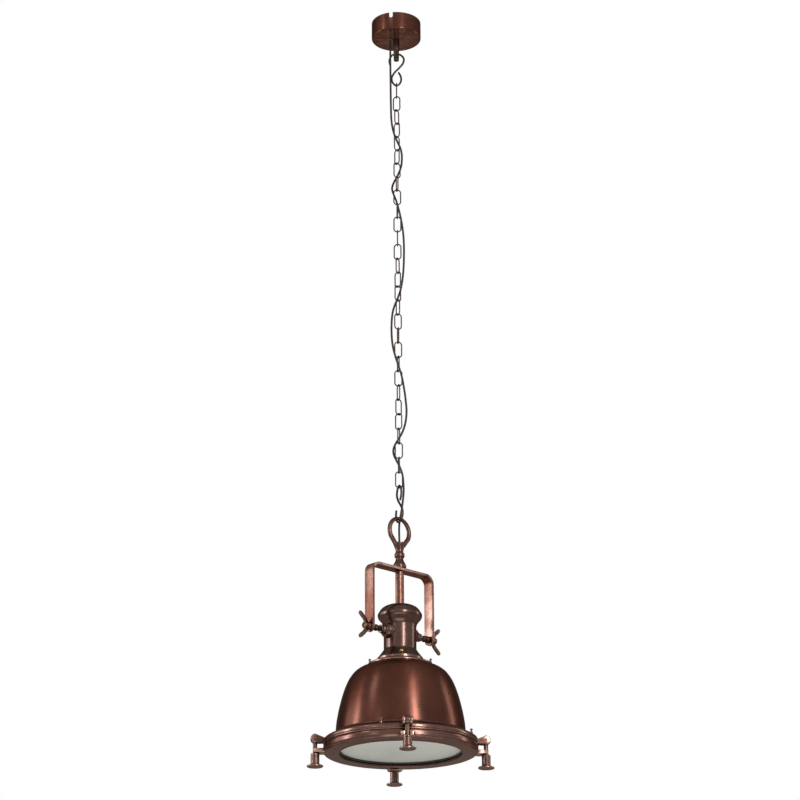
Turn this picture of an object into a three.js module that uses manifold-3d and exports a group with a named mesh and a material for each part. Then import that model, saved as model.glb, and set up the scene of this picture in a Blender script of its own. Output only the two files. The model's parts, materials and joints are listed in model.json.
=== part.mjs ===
// Hanging ship's lantern: ceiling cup, hook-hung chain with a lead wound round it, and a domed lamp.
// Millimetres, +Z up. The origin is on the ceiling face, on the axis that everything hangs from.
import * as THREE from "three";
import { mergeVertices } from "three/addons/utils/BufferGeometryUtils.js";
import Module from "manifold-3d";

const wasm = await Module();
wasm.setup();

// ---- Driving dimensions ----------------------------------------------------------------------
const gap = 0.3; // clearance left between two pieces that touch
const degrees = Math.PI / 180;

// Ceiling cup and what is inside it
const cupDiameter = 98;
const cupHeight = 36;
const cupWall = 1.5;
const cupCorner = 2.5;
const notchWidth = 7;
const notchDepth = 11.5;
const notchAngle = -102;
const strapLength = 84;
const strapWidth = 16;
const strapThickness = 2.5;
const strapHoleSpacing = 60;
const strapHoleDiameter = 5;
const bossDiameter = 14;
const bossHeight = 24;
const bossRoot = 5; // solid metal between the strap and the boss's socket
const threadDiameter = 8;
const nutAcrossFlats = 14;
const nutHeight = 5.5;
const leadHoleX = -12;
const bushFlangeDiameter = 9.4;
const bushFlangeThickness = 1.7;
const bushBodyDiameter = 7.6;
const bushHeadroom = 2;
const terminalSize = [22, 12, 13];
const terminalY = 27;
const terminalWay = 4; // bore of each of its three ways

// Stem under the cup
const stemShoulderDiameter = 13;
const stemShoulderLength = 24;
const stemDiameter = 11;
const stemLength = 23;
const stemHoleDiameter = 7;
const stemChamfer = 1;
const stemHoleDrop = 32.5; // from the cup's underside to the cross hole's axis

// Hooks and chain
const hookWire = 4;
const hookSteps = 36;
const hookSlack = 0.8; // play where a hook carries a link or the eye
const hookHeight = 71; // between the wire centres of the two bows
const lowerHookAngle = 116; // turn of the lower hook's plane about the vertical axis
const hookRise = 0.9; // from the cross hole's axis to the wire's centre at the bow's top
const linkCount = 29;
const linkWire = 2.5;
const linkLength = 33.9;
const linkWidth = 16;
const linkBite = 0.5; // how far the links of one joined piece sink into each other
const linksPerPiece = 3;
// Turn of the chain about its own axis, as link number and degrees from the XZ plane.
const chainTwist = [
  [1, 90],
  [3, 55],
  [6, 40],
  [8, 14],
  [9, 10],
  [11, 0],
  [12, 0],
  [16, -52],
  [19, -80],
  [21, -76],
  [22, -90],
  [25, -30],
  [27, 0],
  [29, 16],
];

// Lead
const leadDiameter = 4;
const leadSteps = 32; // along each of its two stretches
// The lead's route: out of the bush, round the chain, past the lower hook and into the eye's bore.
const leadRoute = [
  [-12, 0, -34],
  [-12, 0, -44],
  [-12, -3.4, -62],
  [-12, -5.2, -84],
  [-11.8, -4.8, -132],
  [-11.4, -4.4, -180],
  [-10.6, -5, -216],
  [-8, -7, -238],
  [-4, -9, -254],
  [0.8, -9.2, -267],
  [6.6, -7.4, -280],
  [9.4, -3, -291],
  [9.6, 1.6, -302],
  [8, 6.4, -314],
  [3.2, 9.6, -327],
  [-2.6, 10, -339],
  [-7.2, 7.4, -350],
  [-9.8, 2, -361],
  [-9.2, -4, -372],
  [-6.2, -8, -383],
  [-2.4, -9.6, -394],
  [1, -10.6, -407],
  [5, -9.6, -424],
  [9, -7.4, -446],
  [11.8, -4.2, -472],
  [12.4, -0.6, -504],
  [10.4, 4, -545],
  [5.8, 8.2, -574],
  [0, 10.4, -592],
  [-6, 8.6, -608],
  [-10.4, 5, -626],
  [-12.6, 0.4, -660],
  [-10.6, -5, -696],
  [-5.2, -9.2, -722],
  [0.4, -10.6, -741],
  [6, -8.8, -760],
  [10.2, -5.6, -782],
  [13.4, -2.2, -806],
  [15, 1, -830],
  [12.6, 5.4, -851],
  [7.6, 9.4, -866],
  [1.4, 11, -878],
  [-5, 9.2, -889],
  [-9.2, 4.6, -900],
  [-10.4, -0.4, -910],
  [-8.6, -5.8, -921],
  [-3.6, -9.8, -933],
  [2.4, -10, -946],
  [6.6, -7.2, -959],
  [8.2, -3.4, -974],
  [8.4, 0.6, -990],
  [6.6, 4.6, -1008],
  [3.6, 7.8, -1028],
  [0.6, 9.4, -1044],
  [-0.4, 6.2, -1060],
  [-0.3, 1.6, -1076],
  [0, 0, -1094],
];

// Eye, bail and tube above the lamp
const headAngle = 43; // turn of the eye, bail and wing nuts about the vertical axis
const eyeWire = 7;
const eyeDiameter = 57;
const eyeHoleDiameter = 6;
const eyeBaseDrop = 100.5; // from the eye's top to the seat on the bail
const eyeShankLength = 15;
const eyeSeatDiameter = 25;
// The eye's turned stem as radius and height above the bail, from its seat's rim to its domed top.
const eyeStem = [
  [11.3, 8.5],
  [9, 14.5],
  [7, 21],
  [9, 23.5],
  [9, 29],
  [7.2, 31.5],
  [8, 37],
  [11.5, 47],
  [9, 50.5],
];
const eyeSeatEdge = 7;
const eyeStemHeight = 51;
const bailSpan = 149; // between the middles of the two arms
const bailWidth = 21.5;
const bailThickness = 5;
const bailCorner = 15;
const bailDrop = 122.5; // from the bail's top face to the pivot
const tubeDiameter = 16;
const tubeBore = 10;
const tubeNutFlats = 26;
const tubeNutHeight = 6;
const tubeEngagement = 13; // how far the tube reaches into the cap

// Cap and neck casting
const capDiameter = 82;
const neckDiameter = 60;
const neckWall = 3.5;
const capHeight = 40; // from the top to where the neck turns straight
const capHeadHeight = 22; // from the top to the widest point
const neckRise = 13.7; // from the pivot up to where the neck turns straight
const neckLength = 46;
const collarDiameter = 86;
const collarHeight = 21;
const lugDiameter = 28;
const lugTipDiameter = 15;
const lugReach = 50; // from the axis
const lugTipLength = 7;
const collarEdge = 4; // height of the collar's straight edge
const tubeNutRoom = 1.6; // between the tube nut and the cap's inside
const studDiameter = 8;
const studShoulderDiameter = 13;
const studShoulderLength = 6;
const studSocketDepth = 12;
const studEnd = 88; // from the axis
const earthScrew = { headDiameter: 8, headHeight: 3, shankDiameter: 4, shankLength: 4, angle: -86 };
const wingHubDiameter = 15;
const wingHubLength = 12;
const wingSpan = 50;
const wingThickness = 4;
const wingRise = 24;

// Shade
const flangeDiameter = 120;
const flangeHeight = 10;
const flangePlate = 4;
const shadeTopDiameter = 124;
const shadeDiameter = 235;
const shadeHeight = 132;
const shadeWall = 1.5;
const shadeHoleDiameter = 48;
const nibHeight = 9;
const nibDiameter = 3.6;
const nibFoot = 1; // how far a nib's or rim screw's foot stands out from it
const nibFootHeight = 2.5;
const nibTopChamfer = 0.9;
const flangeRoll = 5; // height of the flange's rolled edge
const flangeRollWidth = 9;

// Rim, bezel and glass
const rimDiameter = shadeDiameter + 45;
const rimHeight = 21;
const rimWall = 5.5;
const rimLap = 8; // how far the shade's edge stands inside the rim
const rimSkirt = 8; // height of the rim's straight outside
const rimLedge = 3; // thickness of the ledge under the shade's edge
const rimLedgeReach = 9; // how far the ledge reaches in from the shade's outside
const rimRebate = 9.5; // height of the room for the rim gasket and the glass
const bezelHeight = 15;
const bezelFace = 5;
const bezelWall = 3;
const bezelOpening = rimDiameter - 58;
const bezelChamfer = 2.5;
const glassThickness = 4;
const glassSightDiameter = bezelOpening - 6;
const glassInset = 4; // from the bezel's inside to the glass's edge
const gasketThickness = 2.5;
const rimScrewHeight = 8;
const rimScrewRise = 4.6; // of its foot above the middle of the rim's height
const rimScrewAngles = [-105, -15, 75, 165];

// Clamps round the rim
const clampCount = 4;
const clampAngle = -85.5; // of the first clamp
const clampReach = 14.4; // from the rim's edge to the swing bolt's axis
const clampPivotDrop = 11; // from the pivot down to the rim's underside
const boltDiameter = 8;
const boltEyeDiameter = 17;
const boltEyeThickness = boltDiameter;
const boltLength = 44;
const pinDiameter = 5;
const earThickness = 4.5;
const earRadius = 8;
const forkWidth = 28;
const forkHeight = 7;
const forkTip = 3.4; // how far the fork reaches past the bolt's axis
const forkSlot = boltDiameter + 1;
const thumbBarrelDiameter = 16;
const thumbDiscDiameter = 30;
const thumbDiscThickness = 3.5;
const thumbHeight = 25;
const thumbChamfer = 1;

// Lamp
const holderDiameter = 40;
const holderHeight = 46;
const holderWall = 5;
const nippleDiameter = 10;
const nippleLength = 14;
const nippleBore = 6;
const holderRoof = 8; // thickness of the holder's closed end
const holderNutFlats = 17;
const holderNutHeight = 4;
const bulbDiameter = 60;
const bulbCapDiameter = 27;
const bulbCapLength = 28;
const bulbGlassLength = 82;
const bulbDrop = 4; // from the holder's roof to the bulb's cap

// ---- Heights that follow from them -----------------------------------------------------------
const cupFloor = -cupHeight;
const stemHoleZ = cupFloor - stemHoleDrop;
const stemEndZ = cupFloor - gap - stemShoulderLength - stemLength;
const hookTopZ = stemHoleZ + hookRise;
const hookBottomZ = hookTopZ - hookHeight;
const closePitch = linkLength - 2 * linkWire + linkBite;
const openPitch = linkLength - 2 * linkWire - gap;
const firstLinkZ = hookBottomZ + (hookWire + linkWire) / 2 + hookSlack - (linkLength - linkWire) / 2;
const lastLinkZ = linkHeight(linkCount);
const lowerHookTopZ = lastLinkZ - (linkLength - linkWire) / 2 + (hookWire + linkWire) / 2 + hookSlack;
const lowerHookBottomZ = lowerHookTopZ - hookHeight;
const eyeTubeZ = lowerHookBottomZ + (hookWire + eyeWire) / 2 + hookSlack;
const eyeTopZ = eyeTubeZ + eyeWire / 2;
const bailTopZ = eyeTopZ - eyeBaseDrop;
const bailUnderZ = bailTopZ - bailThickness;
const pivotZ = bailTopZ - bailDrop;
const tubeTopZ = bailUnderZ - gap;
const neckTopZ = pivotZ + neckRise;
const capTopZ = neckTopZ + capHeight;
const tubeEndZ = capTopZ - tubeEngagement;
const neckEndZ = neckTopZ - neckLength;
const collarEndZ = neckEndZ - collarHeight;
const flangeTopZ = collarEndZ - gap;
const flangeUnderZ = flangeTopZ - flangeHeight;
const shadeTopZ = flangeUnderZ - gap;
const shadeEndZ = shadeTopZ - shadeHeight;
const rimTopZ = shadeEndZ + rimLap;
const rimUnderZ = rimTopZ - rimHeight;
const bezelTopZ = rimUnderZ - gap;
const bezelUnderZ = bezelTopZ - bezelHeight;
const clampPivotZ = rimUnderZ + clampPivotDrop;
const clampRadius = rimDiameter / 2 + clampReach;
const thumbTopZ = bezelUnderZ - gap;

// Sides of a round piece, so that pieces of one size nest facet to facet
const largeSides = 30;
const mediumSides = 20;
const smallSides = 12;

// ---- Shape helpers ---------------------------------------------------------------------------
function toSolid(geometry) {
  const bare = geometry.index ? geometry.toNonIndexed() : geometry.clone();
  bare.deleteAttribute("normal");
  bare.deleteAttribute("uv");
  const merged = mergeVertices(bare, 1e-4);
  const vertProperties = merged.attributes.position.array;
  const triVerts = new Uint32Array(merged.index.array);
  return new wasm.Manifold(new wasm.Mesh({ numProp: 3, vertProperties, triVerts }));
}

function toGeometry(solid) {
  const mesh = solid.getMesh();
  const geometry = new THREE.BufferGeometry();
  geometry.setAttribute("position", new THREE.BufferAttribute(mesh.vertProperties, 3));
  geometry.setIndex(new THREE.BufferAttribute(mesh.triVerts, 1));
  return geometry;
}

function join(...geometries) {
  return toGeometry(geometries.map(toSolid).reduce((whole, piece) => whole.add(piece)));
}

function cut(geometry, ...tools) {
  return toGeometry(tools.map(toSolid).reduce((left, tool) => left.subtract(tool), toSolid(geometry)));
}

// Turns an outline of [radius, height] points about the Z axis; it runs upwards on the outside.
function turned(outline, segments = mediumSides) {
  const points = outline.map(([radius, height]) => new THREE.Vector2(radius, height));
  return new THREE.LatheGeometry(points, segments).rotateX(Math.PI / 2);
}

// A ring's outline closes on itself.
function turnedRing(outline, segments = mediumSides) {
  return turned([...outline, outline[0]], segments);
}

function rod(diameter, bottomZ, topZ, segments = smallSides) {
  const radius = diameter / 2;
  const height = topZ - bottomZ;
  const geometry = new THREE.CylinderGeometry(radius, radius, height, segments);
  return geometry.rotateX(Math.PI / 2).translate(0, 0, (topZ + bottomZ) / 2);
}

// A rod along X between two distances from the axis.
function crossRod(diameter, fromX, toX, segments = smallSides) {
  return rod(diameter, fromX, toX, segments).rotateY(Math.PI / 2);
}

function pipe(outer, inner, bottomZ, topZ, segments = mediumSides) {
  const outline = [
    [inner / 2, bottomZ],
    [outer / 2, bottomZ],
    [outer / 2, topZ],
    [inner / 2, topZ],
  ];
  return turnedRing(outline, segments);
}

function block(sizeX, sizeY, sizeZ, x, y, z) {
  return new THREE.BoxGeometry(sizeX, sizeY, sizeZ).translate(x, y, z);
}

function hexNut(acrossFlats, boreDiameter, bottomZ, topZ) {
  const body = rod(acrossFlats / Math.cos(30 * degrees), bottomZ, topZ, 6);
  return cut(body, rod(boreDiameter, bottomZ - 1, topZ + 1));
}

function tubeAlong(path, diameter, sides, steps) {
  const corners = Array.from({ length: sides }, (_, i) => {
    const angle = (i * 2 * Math.PI) / sides;
    return new THREE.Vector2((diameter / 2) * Math.cos(angle), (diameter / 2) * Math.sin(angle));
  });
  const section = new THREE.Shape(corners);
  return new THREE.ExtrudeGeometry(section, { steps, bevelEnabled: false, extrudePath: path });
}

function wireAlong(points, diameter, sides, steps) {
  const path = new THREE.CatmullRomCurve3(points.map((point) => new THREE.Vector3(...point)));
  return tubeAlong(path, diameter, sides, steps);
}

// Lays an outline drawn in X and Z out as a plate centred on y = 0.
function plate(shape, thickness, curveSegments = 12) {
  const options = { depth: thickness, bevelEnabled: false, curveSegments };
  const geometry = new THREE.ExtrudeGeometry(shape, options);
  return geometry.translate(0, 0, -thickness / 2).rotateX(Math.PI / 2);
}

// ---- Finishes --------------------------------------------------------------------------------
const finishes = {
  copper: { color: 0x6b4234, roughness: 0.38, metalness: 0.9 },
  brightCopper: { color: 0xa8644c, roughness: 0.32, metalness: 0.95 },
  bronze: { color: 0x4a3a32, roughness: 0.45, metalness: 0.9 },
  brass: { color: 0xb08a45, roughness: 0.3, metalness: 1 },
  steel: { color: 0x9a9a98, roughness: 0.4, metalness: 1 },
  rubber: { color: 0x1c1e1d, roughness: 0.8, metalness: 0 },
  lead: { color: 0x121212, roughness: 0.6, metalness: 0 },
  plastic: { color: 0xd9d6cc, roughness: 0.5, metalness: 0 },
  porcelain: { color: 0xeeeae0, roughness: 0.3, metalness: 0 },
  frosted: { color: 0xccd2c6, roughness: 0.6, metalness: 0 },
  bulb: { color: 0xf2f0ea, roughness: 0.5, metalness: 0 },
};

function piece(name, geometry, finish) {
  const mesh = new THREE.Mesh(geometry, new THREE.MeshStandardMaterial(finishes[finish]));
  mesh.name = name;
  return mesh;
}

// ---- Ceiling cup -----------------------------------------------------------------------------
function ceilingStrap() {
  const strap = block(strapLength, strapWidth, strapThickness, 0, 0, -strapThickness / 2);
  const bossEndZ = -strapThickness - bossHeight;
  const boss = rod(bossDiameter, bossEndZ, -strapThickness / 2, mediumSides);
  const socket = rod(threadDiameter + 2 * gap, bossEndZ - 1, -strapThickness - bossRoot);
  const holes = [-1, 1].map((side) =>
    rod(strapHoleDiameter, -strapThickness - 1, 1).translate((side * strapHoleSpacing) / 2, 0, 0),
  );
  return piece("ceiling_strap", cut(join(strap, boss), socket, ...holes), "steel");
}

function ceilingCup() {
  const outer = cupDiameter / 2;
  const inner = outer - cupWall;
  const outline = [
    [0, cupFloor],
    [outer - cupCorner, cupFloor],
    [outer - 0.3 * cupCorner, cupFloor + 0.3 * cupCorner],
    [outer, cupFloor + cupCorner],
    [outer, 0],
    [inner, 0],
    [inner, cupFloor + cupWall],
    [0, cupFloor + cupWall],
  ];
  const radius = notchWidth / 2;
  const notchEnd = radius - notchDepth;
  const slot = block(cupWall * 4, notchWidth, -2 * notchEnd, outer, 0, 0);
  const slotEnd = crossRod(notchWidth, outer - 2 * cupWall, outer + 2 * cupWall).translate(0, 0, notchEnd);
  const notch = [slot, slotEnd].map((tool) => tool.rotateZ(notchAngle * degrees));
  const stemHole = rod(threadDiameter + 2 * gap, cupFloor - 1, cupFloor + cupWall + 1);
  const leadHole = rod(bushBodyDiameter + 2 * gap, cupFloor - 1, cupFloor + cupWall + 1);
  const shell = cut(turned(outline, largeSides), ...notch, stemHole, leadHole.translate(leadHoleX, 0, 0));
  return piece("ceiling_cup", shell, "copper");
}

function hookStem() {
  const thread = threadDiameter / 2;
  const shoulder = stemShoulderDiameter / 2;
  const radius = stemDiameter / 2;
  const threadEndZ = -strapThickness - bossRoot - 1;
  const shoulderTopZ = cupFloor - gap;
  const shoulderEndZ = shoulderTopZ - stemShoulderLength;
  const outline = [
    [0, stemEndZ],
    [radius - stemChamfer, stemEndZ],
    [radius, stemEndZ + stemChamfer],
    [radius, shoulderEndZ],
    [shoulder, shoulderEndZ + stemChamfer],
    [shoulder, shoulderTopZ],
    [thread, shoulderTopZ],
    [thread, threadEndZ],
    [0, threadEndZ],
  ];
  const reach = stemShoulderDiameter;
  const hole = crossRod(stemHoleDiameter, -reach, reach).translate(0, 0, stemHoleZ);
  return piece("hook_stem", cut(turned(outline, smallSides), hole), "bronze");
}

function stemNut() {
  const bottomZ = cupFloor + cupWall + gap;
  const bore = threadDiameter + 2 * gap;
  return piece("stem_nut", hexNut(nutAcrossFlats, bore, bottomZ, bottomZ + nutHeight), "steel");
}

function leadBush() {
  const bore = leadDiameter / 2 + gap;
  const flange = bushFlangeDiameter / 2;
  const body = bushBodyDiameter / 2;
  const flangeTopZ = cupFloor - gap;
  const outline = [
    [bore, flangeTopZ - bushFlangeThickness],
    [flange - 1, flangeTopZ - bushFlangeThickness],
    [flange, flangeTopZ - bushFlangeThickness + 1],
    [flange, flangeTopZ],
    [body, flangeTopZ],
    [body, cupFloor + cupWall + bushHeadroom],
    [bore, cupFloor + cupWall + bushHeadroom],
  ];
  return piece("lead_bush", turnedRing(outline, smallSides).translate(leadHoleX, 0, 0), "rubber");
}

function terminalBlock() {
  const [sizeX, sizeY, sizeZ] = terminalSize;
  const middleZ = cupFloor + cupWall + gap + sizeZ / 2;
  const body = block(sizeX, sizeY, sizeZ, 0, terminalY, middleZ);
  const ways = [-1, 0, 1].map((way) =>
    rod(terminalWay, -sizeY, sizeY).rotateX(Math.PI / 2).translate((way * sizeX) / 3, terminalY, middleZ),
  );
  return piece("terminal_block", cut(body, ...ways), "plastic");
}

// ---- Hooks and chain -------------------------------------------------------------------------
// An S-hook's centre line in the XZ plane, with its large bow's top at z = 0.
function hookLine() {
  return [
    [-12.5, 0, -24.5],
    [-14, 0, -15.5],
    [-9.2, 0, -3.6],
    [0, 0, 0],
    [9.2, 0, -3],
    [14.8, 0, -11],
    [13.2, 0, -21],
    [5, 0, -32],
    [-4.6, 0, -43],
    [-9.6, 0, -55],
    [-6.2, 0, -66.4],
    [0, 0, -hookHeight],
    [6.4, 0, -66.6],
    [9.4, 0, -57],
    [7.4, 0, -47.5],
    [4.6, 0, -42.5],
  ];
}

function upperHook() {
  const line = hookLine().map(([x, y, z]) => [x, y, hookTopZ + z]);
  return piece("upper_hook", wireAlong(line, hookWire, 6, hookSteps), "bronze");
}

// The lower hook is upside down, with its large bow round the eye.
function lowerHook() {
  const line = hookLine().map(([x, y, z]) => [-x, y, lowerHookBottomZ - z]);
  const wire = wireAlong(line, hookWire, 6, hookSteps).rotateZ(lowerHookAngle * degrees);
  return piece("lower_hook", wire, "bronze");
}

function twistAt(link) {
  const found = chainTwist.findIndex(([number]) => number >= link);
  const after = found < 0 ? chainTwist.length - 1 : found;
  const [endLink, endTurn] = chainTwist[after];
  const [startLink, startTurn] = chainTwist[Math.max(after - 1, 0)];
  const share = endLink === startLink || found < 0 ? 1 : (link - startLink) / (endLink - startLink);
  return startTurn + share * (endTurn - startTurn);
}

// The links of one piece are joined where they touch, then comes a gap to the next piece.
function linkHeight(link) {
  const open = Math.floor((link - 1) / linksPerPiece);
  const closed = link - 1 - open;
  return firstLinkZ - closed * closePitch - open * openPitch;
}

function chainLink(link) {
  const bend = (linkWidth - linkWire) / 2;
  const stretch = (linkLength - linkWidth) / 2;
  const sides = 10;
  const ring = new THREE.TorusGeometry(bend, linkWire / 2, 6, sides);
  ring.rotateZ((180 / sides) * degrees).rotateX(Math.PI / 2);
  const position = ring.attributes.position;
  for (let i = 0; i < position.count; i += 1) {
    position.setZ(i, position.getZ(i) + Math.sign(position.getZ(i)) * stretch);
  }
  const quarterTurn = link % 2 === 0 ? 90 : 0;
  ring.rotateZ((twistAt(link) + quarterTurn) * degrees);
  return ring.translate(0, 0, linkHeight(link));
}

function chain() {
  const pieces = [];
  for (let first = 1; first <= linkCount; first += linksPerPiece) {
    const last = Math.min(first + linksPerPiece - 1, linkCount);
    const links = Array.from({ length: last - first + 1 }, (_, i) => chainLink(first + i));
    const name = `chain_links_${String(first).padStart(2, "0")}_${String(last).padStart(2, "0")}`;
    pieces.push(piece(name, join(...links), "bronze"));
  }
  return pieces;
}

// ---- Lead ------------------------------------------------------------------------------------
// A stretch of a longer curve, given as two shares of its length.
class Stretch extends THREE.Curve {
  constructor(whole, from, to) {
    super();
    this.whole = whole;
    this.from = from;
    this.to = to;
  }

  getPoint(share) {
    return this.whole.getPointAt(this.from + share * (this.to - this.from));
  }
}

function lead() {
  const whole = new THREE.CatmullRomCurve3(leadRoute.map((point) => new THREE.Vector3(...point)));
  whole.arcLengthDivisions = 2000;
  const halfGap = gap / 2 / whole.getLength();
  const upper = new Stretch(whole, 0, 0.5 - halfGap);
  const lower = new Stretch(whole, 0.5 + halfGap, 1);
  return [
    piece("lead_upper", tubeAlong(upper, leadDiameter, 8, leadSteps), "lead"),
    piece("lead_lower", tubeAlong(lower, leadDiameter, 8, leadSteps), "lead"),
  ];
}

// ---- Eye, bail and tube ----------------------------------------------------------------------
function eyeBolt() {
  const bow = (eyeDiameter - eyeWire) / 2;
  const ring = new THREE.TorusGeometry(bow, eyeWire / 2, 8, mediumSides).rotateX(Math.PI / 2);
  ring.translate(0, 0, eyeTubeZ - bow);
  const seat = eyeSeatDiameter / 2;
  const shank = tubeBore / 2 - gap;
  const shankEndZ = bailUnderZ - eyeShankLength;
  const outline = [
    [0, shankEndZ],
    [shank, shankEndZ],
    [shank, bailTopZ + gap],
    [seat, bailTopZ + gap],
    [seat, bailTopZ + eyeSeatEdge],
    ...eyeStem.map(([radius, height]) => [radius, bailTopZ + height]),
    [0, bailTopZ + eyeStemHeight],
  ];
  const bore = rod(eyeHoleDiameter, shankEndZ - 1, bailTopZ + eyeStemHeight + 10);
  return piece("eye_bolt", cut(join(ring, turned(outline, smallSides)), bore), "copper");
}

function bail() {
  const outer = bailSpan / 2 + bailThickness / 2;
  const inner = bailSpan / 2 - bailThickness / 2;
  const innerCorner = bailCorner - bailThickness;
  const outline = new THREE.Shape();
  outline.moveTo(-outer, pivotZ);
  outline.lineTo(-inner, pivotZ);
  outline.absarc(-inner + innerCorner, bailUnderZ - innerCorner, innerCorner, Math.PI, Math.PI / 2, true);
  outline.absarc(inner - innerCorner, bailUnderZ - innerCorner, innerCorner, Math.PI / 2, 0, true);
  outline.lineTo(inner, pivotZ);
  outline.lineTo(outer, pivotZ);
  outline.absarc(outer - bailCorner, bailTopZ - bailCorner, bailCorner, 0, Math.PI / 2, false);
  outline.absarc(-outer + bailCorner, bailTopZ - bailCorner, bailCorner, Math.PI / 2, Math.PI, false);
  const strip = plate(outline, bailWidth, smallSides / 2);
  const ends = [-1, 1].map((side) =>
    crossRod(bailWidth, -bailThickness / 2, bailThickness / 2).translate((side * bailSpan) / 2, 0, pivotZ),
  );
  const pivotHole = crossRod(studDiameter + 2 * gap, -bailSpan, bailSpan).translate(0, 0, pivotZ);
  const middleHole = rod(tubeBore, bailUnderZ - 1, bailTopZ + 1);
  return piece("bail", cut(join(strip, ...ends), pivotHole, middleHole), "brightCopper");
}

function downTube() {
  return piece("down_tube", pipe(tubeDiameter, tubeBore, tubeEndZ, tubeTopZ, smallSides), "copper");
}

function tubeNut() {
  const topZ = capTopZ - neckWall - tubeNutRoom - gap;
  const nut = hexNut(tubeNutFlats, tubeDiameter + 2 * gap, topZ - tubeNutHeight, topZ);
  return piece("tube_nut", nut, "steel");
}

// ---- Cap and neck casting --------------------------------------------------------------------
// Outside of the casting from its foot to its top, moved in by a wall for the inside.
function neckOutline(wall) {
  const cap = capDiameter / 2 - wall;
  const neck = neckDiameter / 2 - wall;
  const widestZ = capTopZ - capHeadHeight;
  const top = capTopZ - wall;
  return [
    [neck, neckEndZ],
    [neck, neckTopZ - wall],
    [neck + 1.5, neckTopZ + 4.5 - wall],
    [neck + 7, widestZ - 9 - wall],
    [cap - 1.2, widestZ - 4.5 - wall / 2],
    [cap, widestZ],
    [cap - 2.2, widestZ + 10 - wall / 3],
    [cap - 10, top - 5.5],
    [cap - 23, top - 1.2],
    [tubeDiameter / 2 + gap, top],
  ];
}

function neckCap() {
  const collar = collarDiameter / 2;
  const neck = neckDiameter / 2;
  const foot = [
    [neck - neckWall, collarEndZ],
    [collar, collarEndZ],
    [collar, collarSlopeStart()],
    [neck + 2, collarSlopeEnd()],
  ];
  const shell = turnedRing([...foot, ...neckOutline(0), ...neckOutline(neckWall).reverse()], mediumSides);
  const lugRoot = neck - neckWall / 2;
  const lugOutline = [
    [0, lugRoot],
    [lugDiameter / 2, lugRoot],
    [lugDiameter / 2, neck + 2],
    [lugDiameter / 2 - 2, neck + 6],
    [lugTipDiameter / 2, lugReach - lugTipLength],
    [lugTipDiameter / 2, lugReach],
    [0, lugReach],
  ];
  const sides = [1, -1];
  const lugs = sides.map((side) => {
    const lug = turned(lugOutline, smallSides).rotateY((side * Math.PI) / 2);
    return lug.translate(0, 0, pivotZ);
  });
  const sockets = sides.map((side) =>
    crossRod(studDiameter + 2 * gap, lugReach - studSocketDepth, lugReach + 1)
      .scale(side, side, 1)
      .translate(0, 0, pivotZ),
  );
  const casting = cut(join(shell, ...lugs), ...sockets, earthScrewTool());
  return piece("neck_cap", casting, "bronze");
}

function pivotStud(name, side) {
  const radius = studDiameter / 2;
  const shoulder = studShoulderDiameter / 2;
  const armInside = bailSpan / 2 - bailThickness / 2 - gap;
  const outline = [
    [0, lugReach - studSocketDepth + gap],
    [radius, lugReach - studSocketDepth + gap],
    [radius, lugReach + gap],
    [shoulder - 1.5, lugReach + gap],
    [shoulder - 1.5, armInside - studShoulderLength - 2],
    [shoulder, armInside - studShoulderLength],
    [shoulder, armInside],
    [radius, armInside],
    [radius, studEnd],
    [0, studEnd],
  ];
  const stud = turned(outline, smallSides).rotateY((side * Math.PI) / 2).translate(0, 0, pivotZ);
  return piece(name, stud, "bronze");
}

function wingNut(name, side) {
  const hub = wingHubDiameter / 2;
  const start = bailSpan / 2 + bailThickness / 2 + gap;
  const end = start + wingHubLength;
  const hubOutline = [
    [0, start],
    [hub, start],
    [hub, start + 3],
    [hub - 1.8, end],
    [0, end],
  ];
  const body = turned(hubOutline, smallSides);
  const tip = wingSpan / 2;
  const wing = new THREE.Shape();
  wing.moveTo(0, start + 2);
  wing.lineTo(hub - 1, start + 2);
  wing.quadraticCurveTo(tip - 8, start + 3, tip - 1, start + wingRise - 7);
  wing.absarc(tip - 4.5, start + wingRise - 4.5, 4.5, -Math.PI / 5, Math.PI * 0.8, false);
  wing.quadraticCurveTo(tip - 13, end - 3, hub - 2, end - 1);
  wing.lineTo(0, end - 1);
  const wings = [0, 180].map((turn) => plate(wing, wingThickness, 3).rotateZ(turn * degrees));
  const bore = rod(studDiameter + 2 * gap, start - 1, end + 1);
  const nut = cut(join(body, ...wings), bore).rotateY((side * Math.PI) / 2);
  return piece(name, nut.translate(0, 0, pivotZ), "bronze");
}

// The collar slopes from its straight edge up to the neck's foot.
function collarSlopeStart() {
  return collarEndZ + collarEdge;
}

function collarSlopeEnd() {
  return neckEndZ - 2.5;
}

// The earth screw stands square on the collar's slope.
function placeOnCollar(geometry) {
  const neck = neckDiameter / 2 + 2;
  const collar = collarDiameter / 2;
  const tilt = Math.atan2(collar - neck, collarSlopeEnd() - collarSlopeStart());
  geometry.rotateX(Math.PI / 2 - tilt);
  geometry.translate(0, -(neck + collar) / 2, (collarSlopeStart() + collarSlopeEnd()) / 2);
  return geometry.rotateZ((earthScrew.angle + 90 - headAngle) * degrees);
}

function earthScrewTool() {
  const { shankDiameter, shankLength } = earthScrew;
  return placeOnCollar(rod(shankDiameter + 2 * gap, -shankLength - 3, 6));
}

function earthScrewPiece() {
  const { headDiameter, headHeight, shankDiameter, shankLength } = earthScrew;
  const head = headDiameter / 2;
  const shank = shankDiameter / 2;
  const outline = [
    [0, -shankLength],
    [shank, -shankLength],
    [shank, gap],
    [head, gap],
    [head, headHeight * 0.6],
    [head * 0.7, headHeight],
    [0, headHeight],
  ];
  const screw = turned(outline, smallSides);
  const slot = block(headDiameter + 2, 1, 2, 0, 0, headHeight + 0.2);
  return piece("earth_screw", placeOnCollar(cut(screw, slot)), "brass");
}

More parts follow.
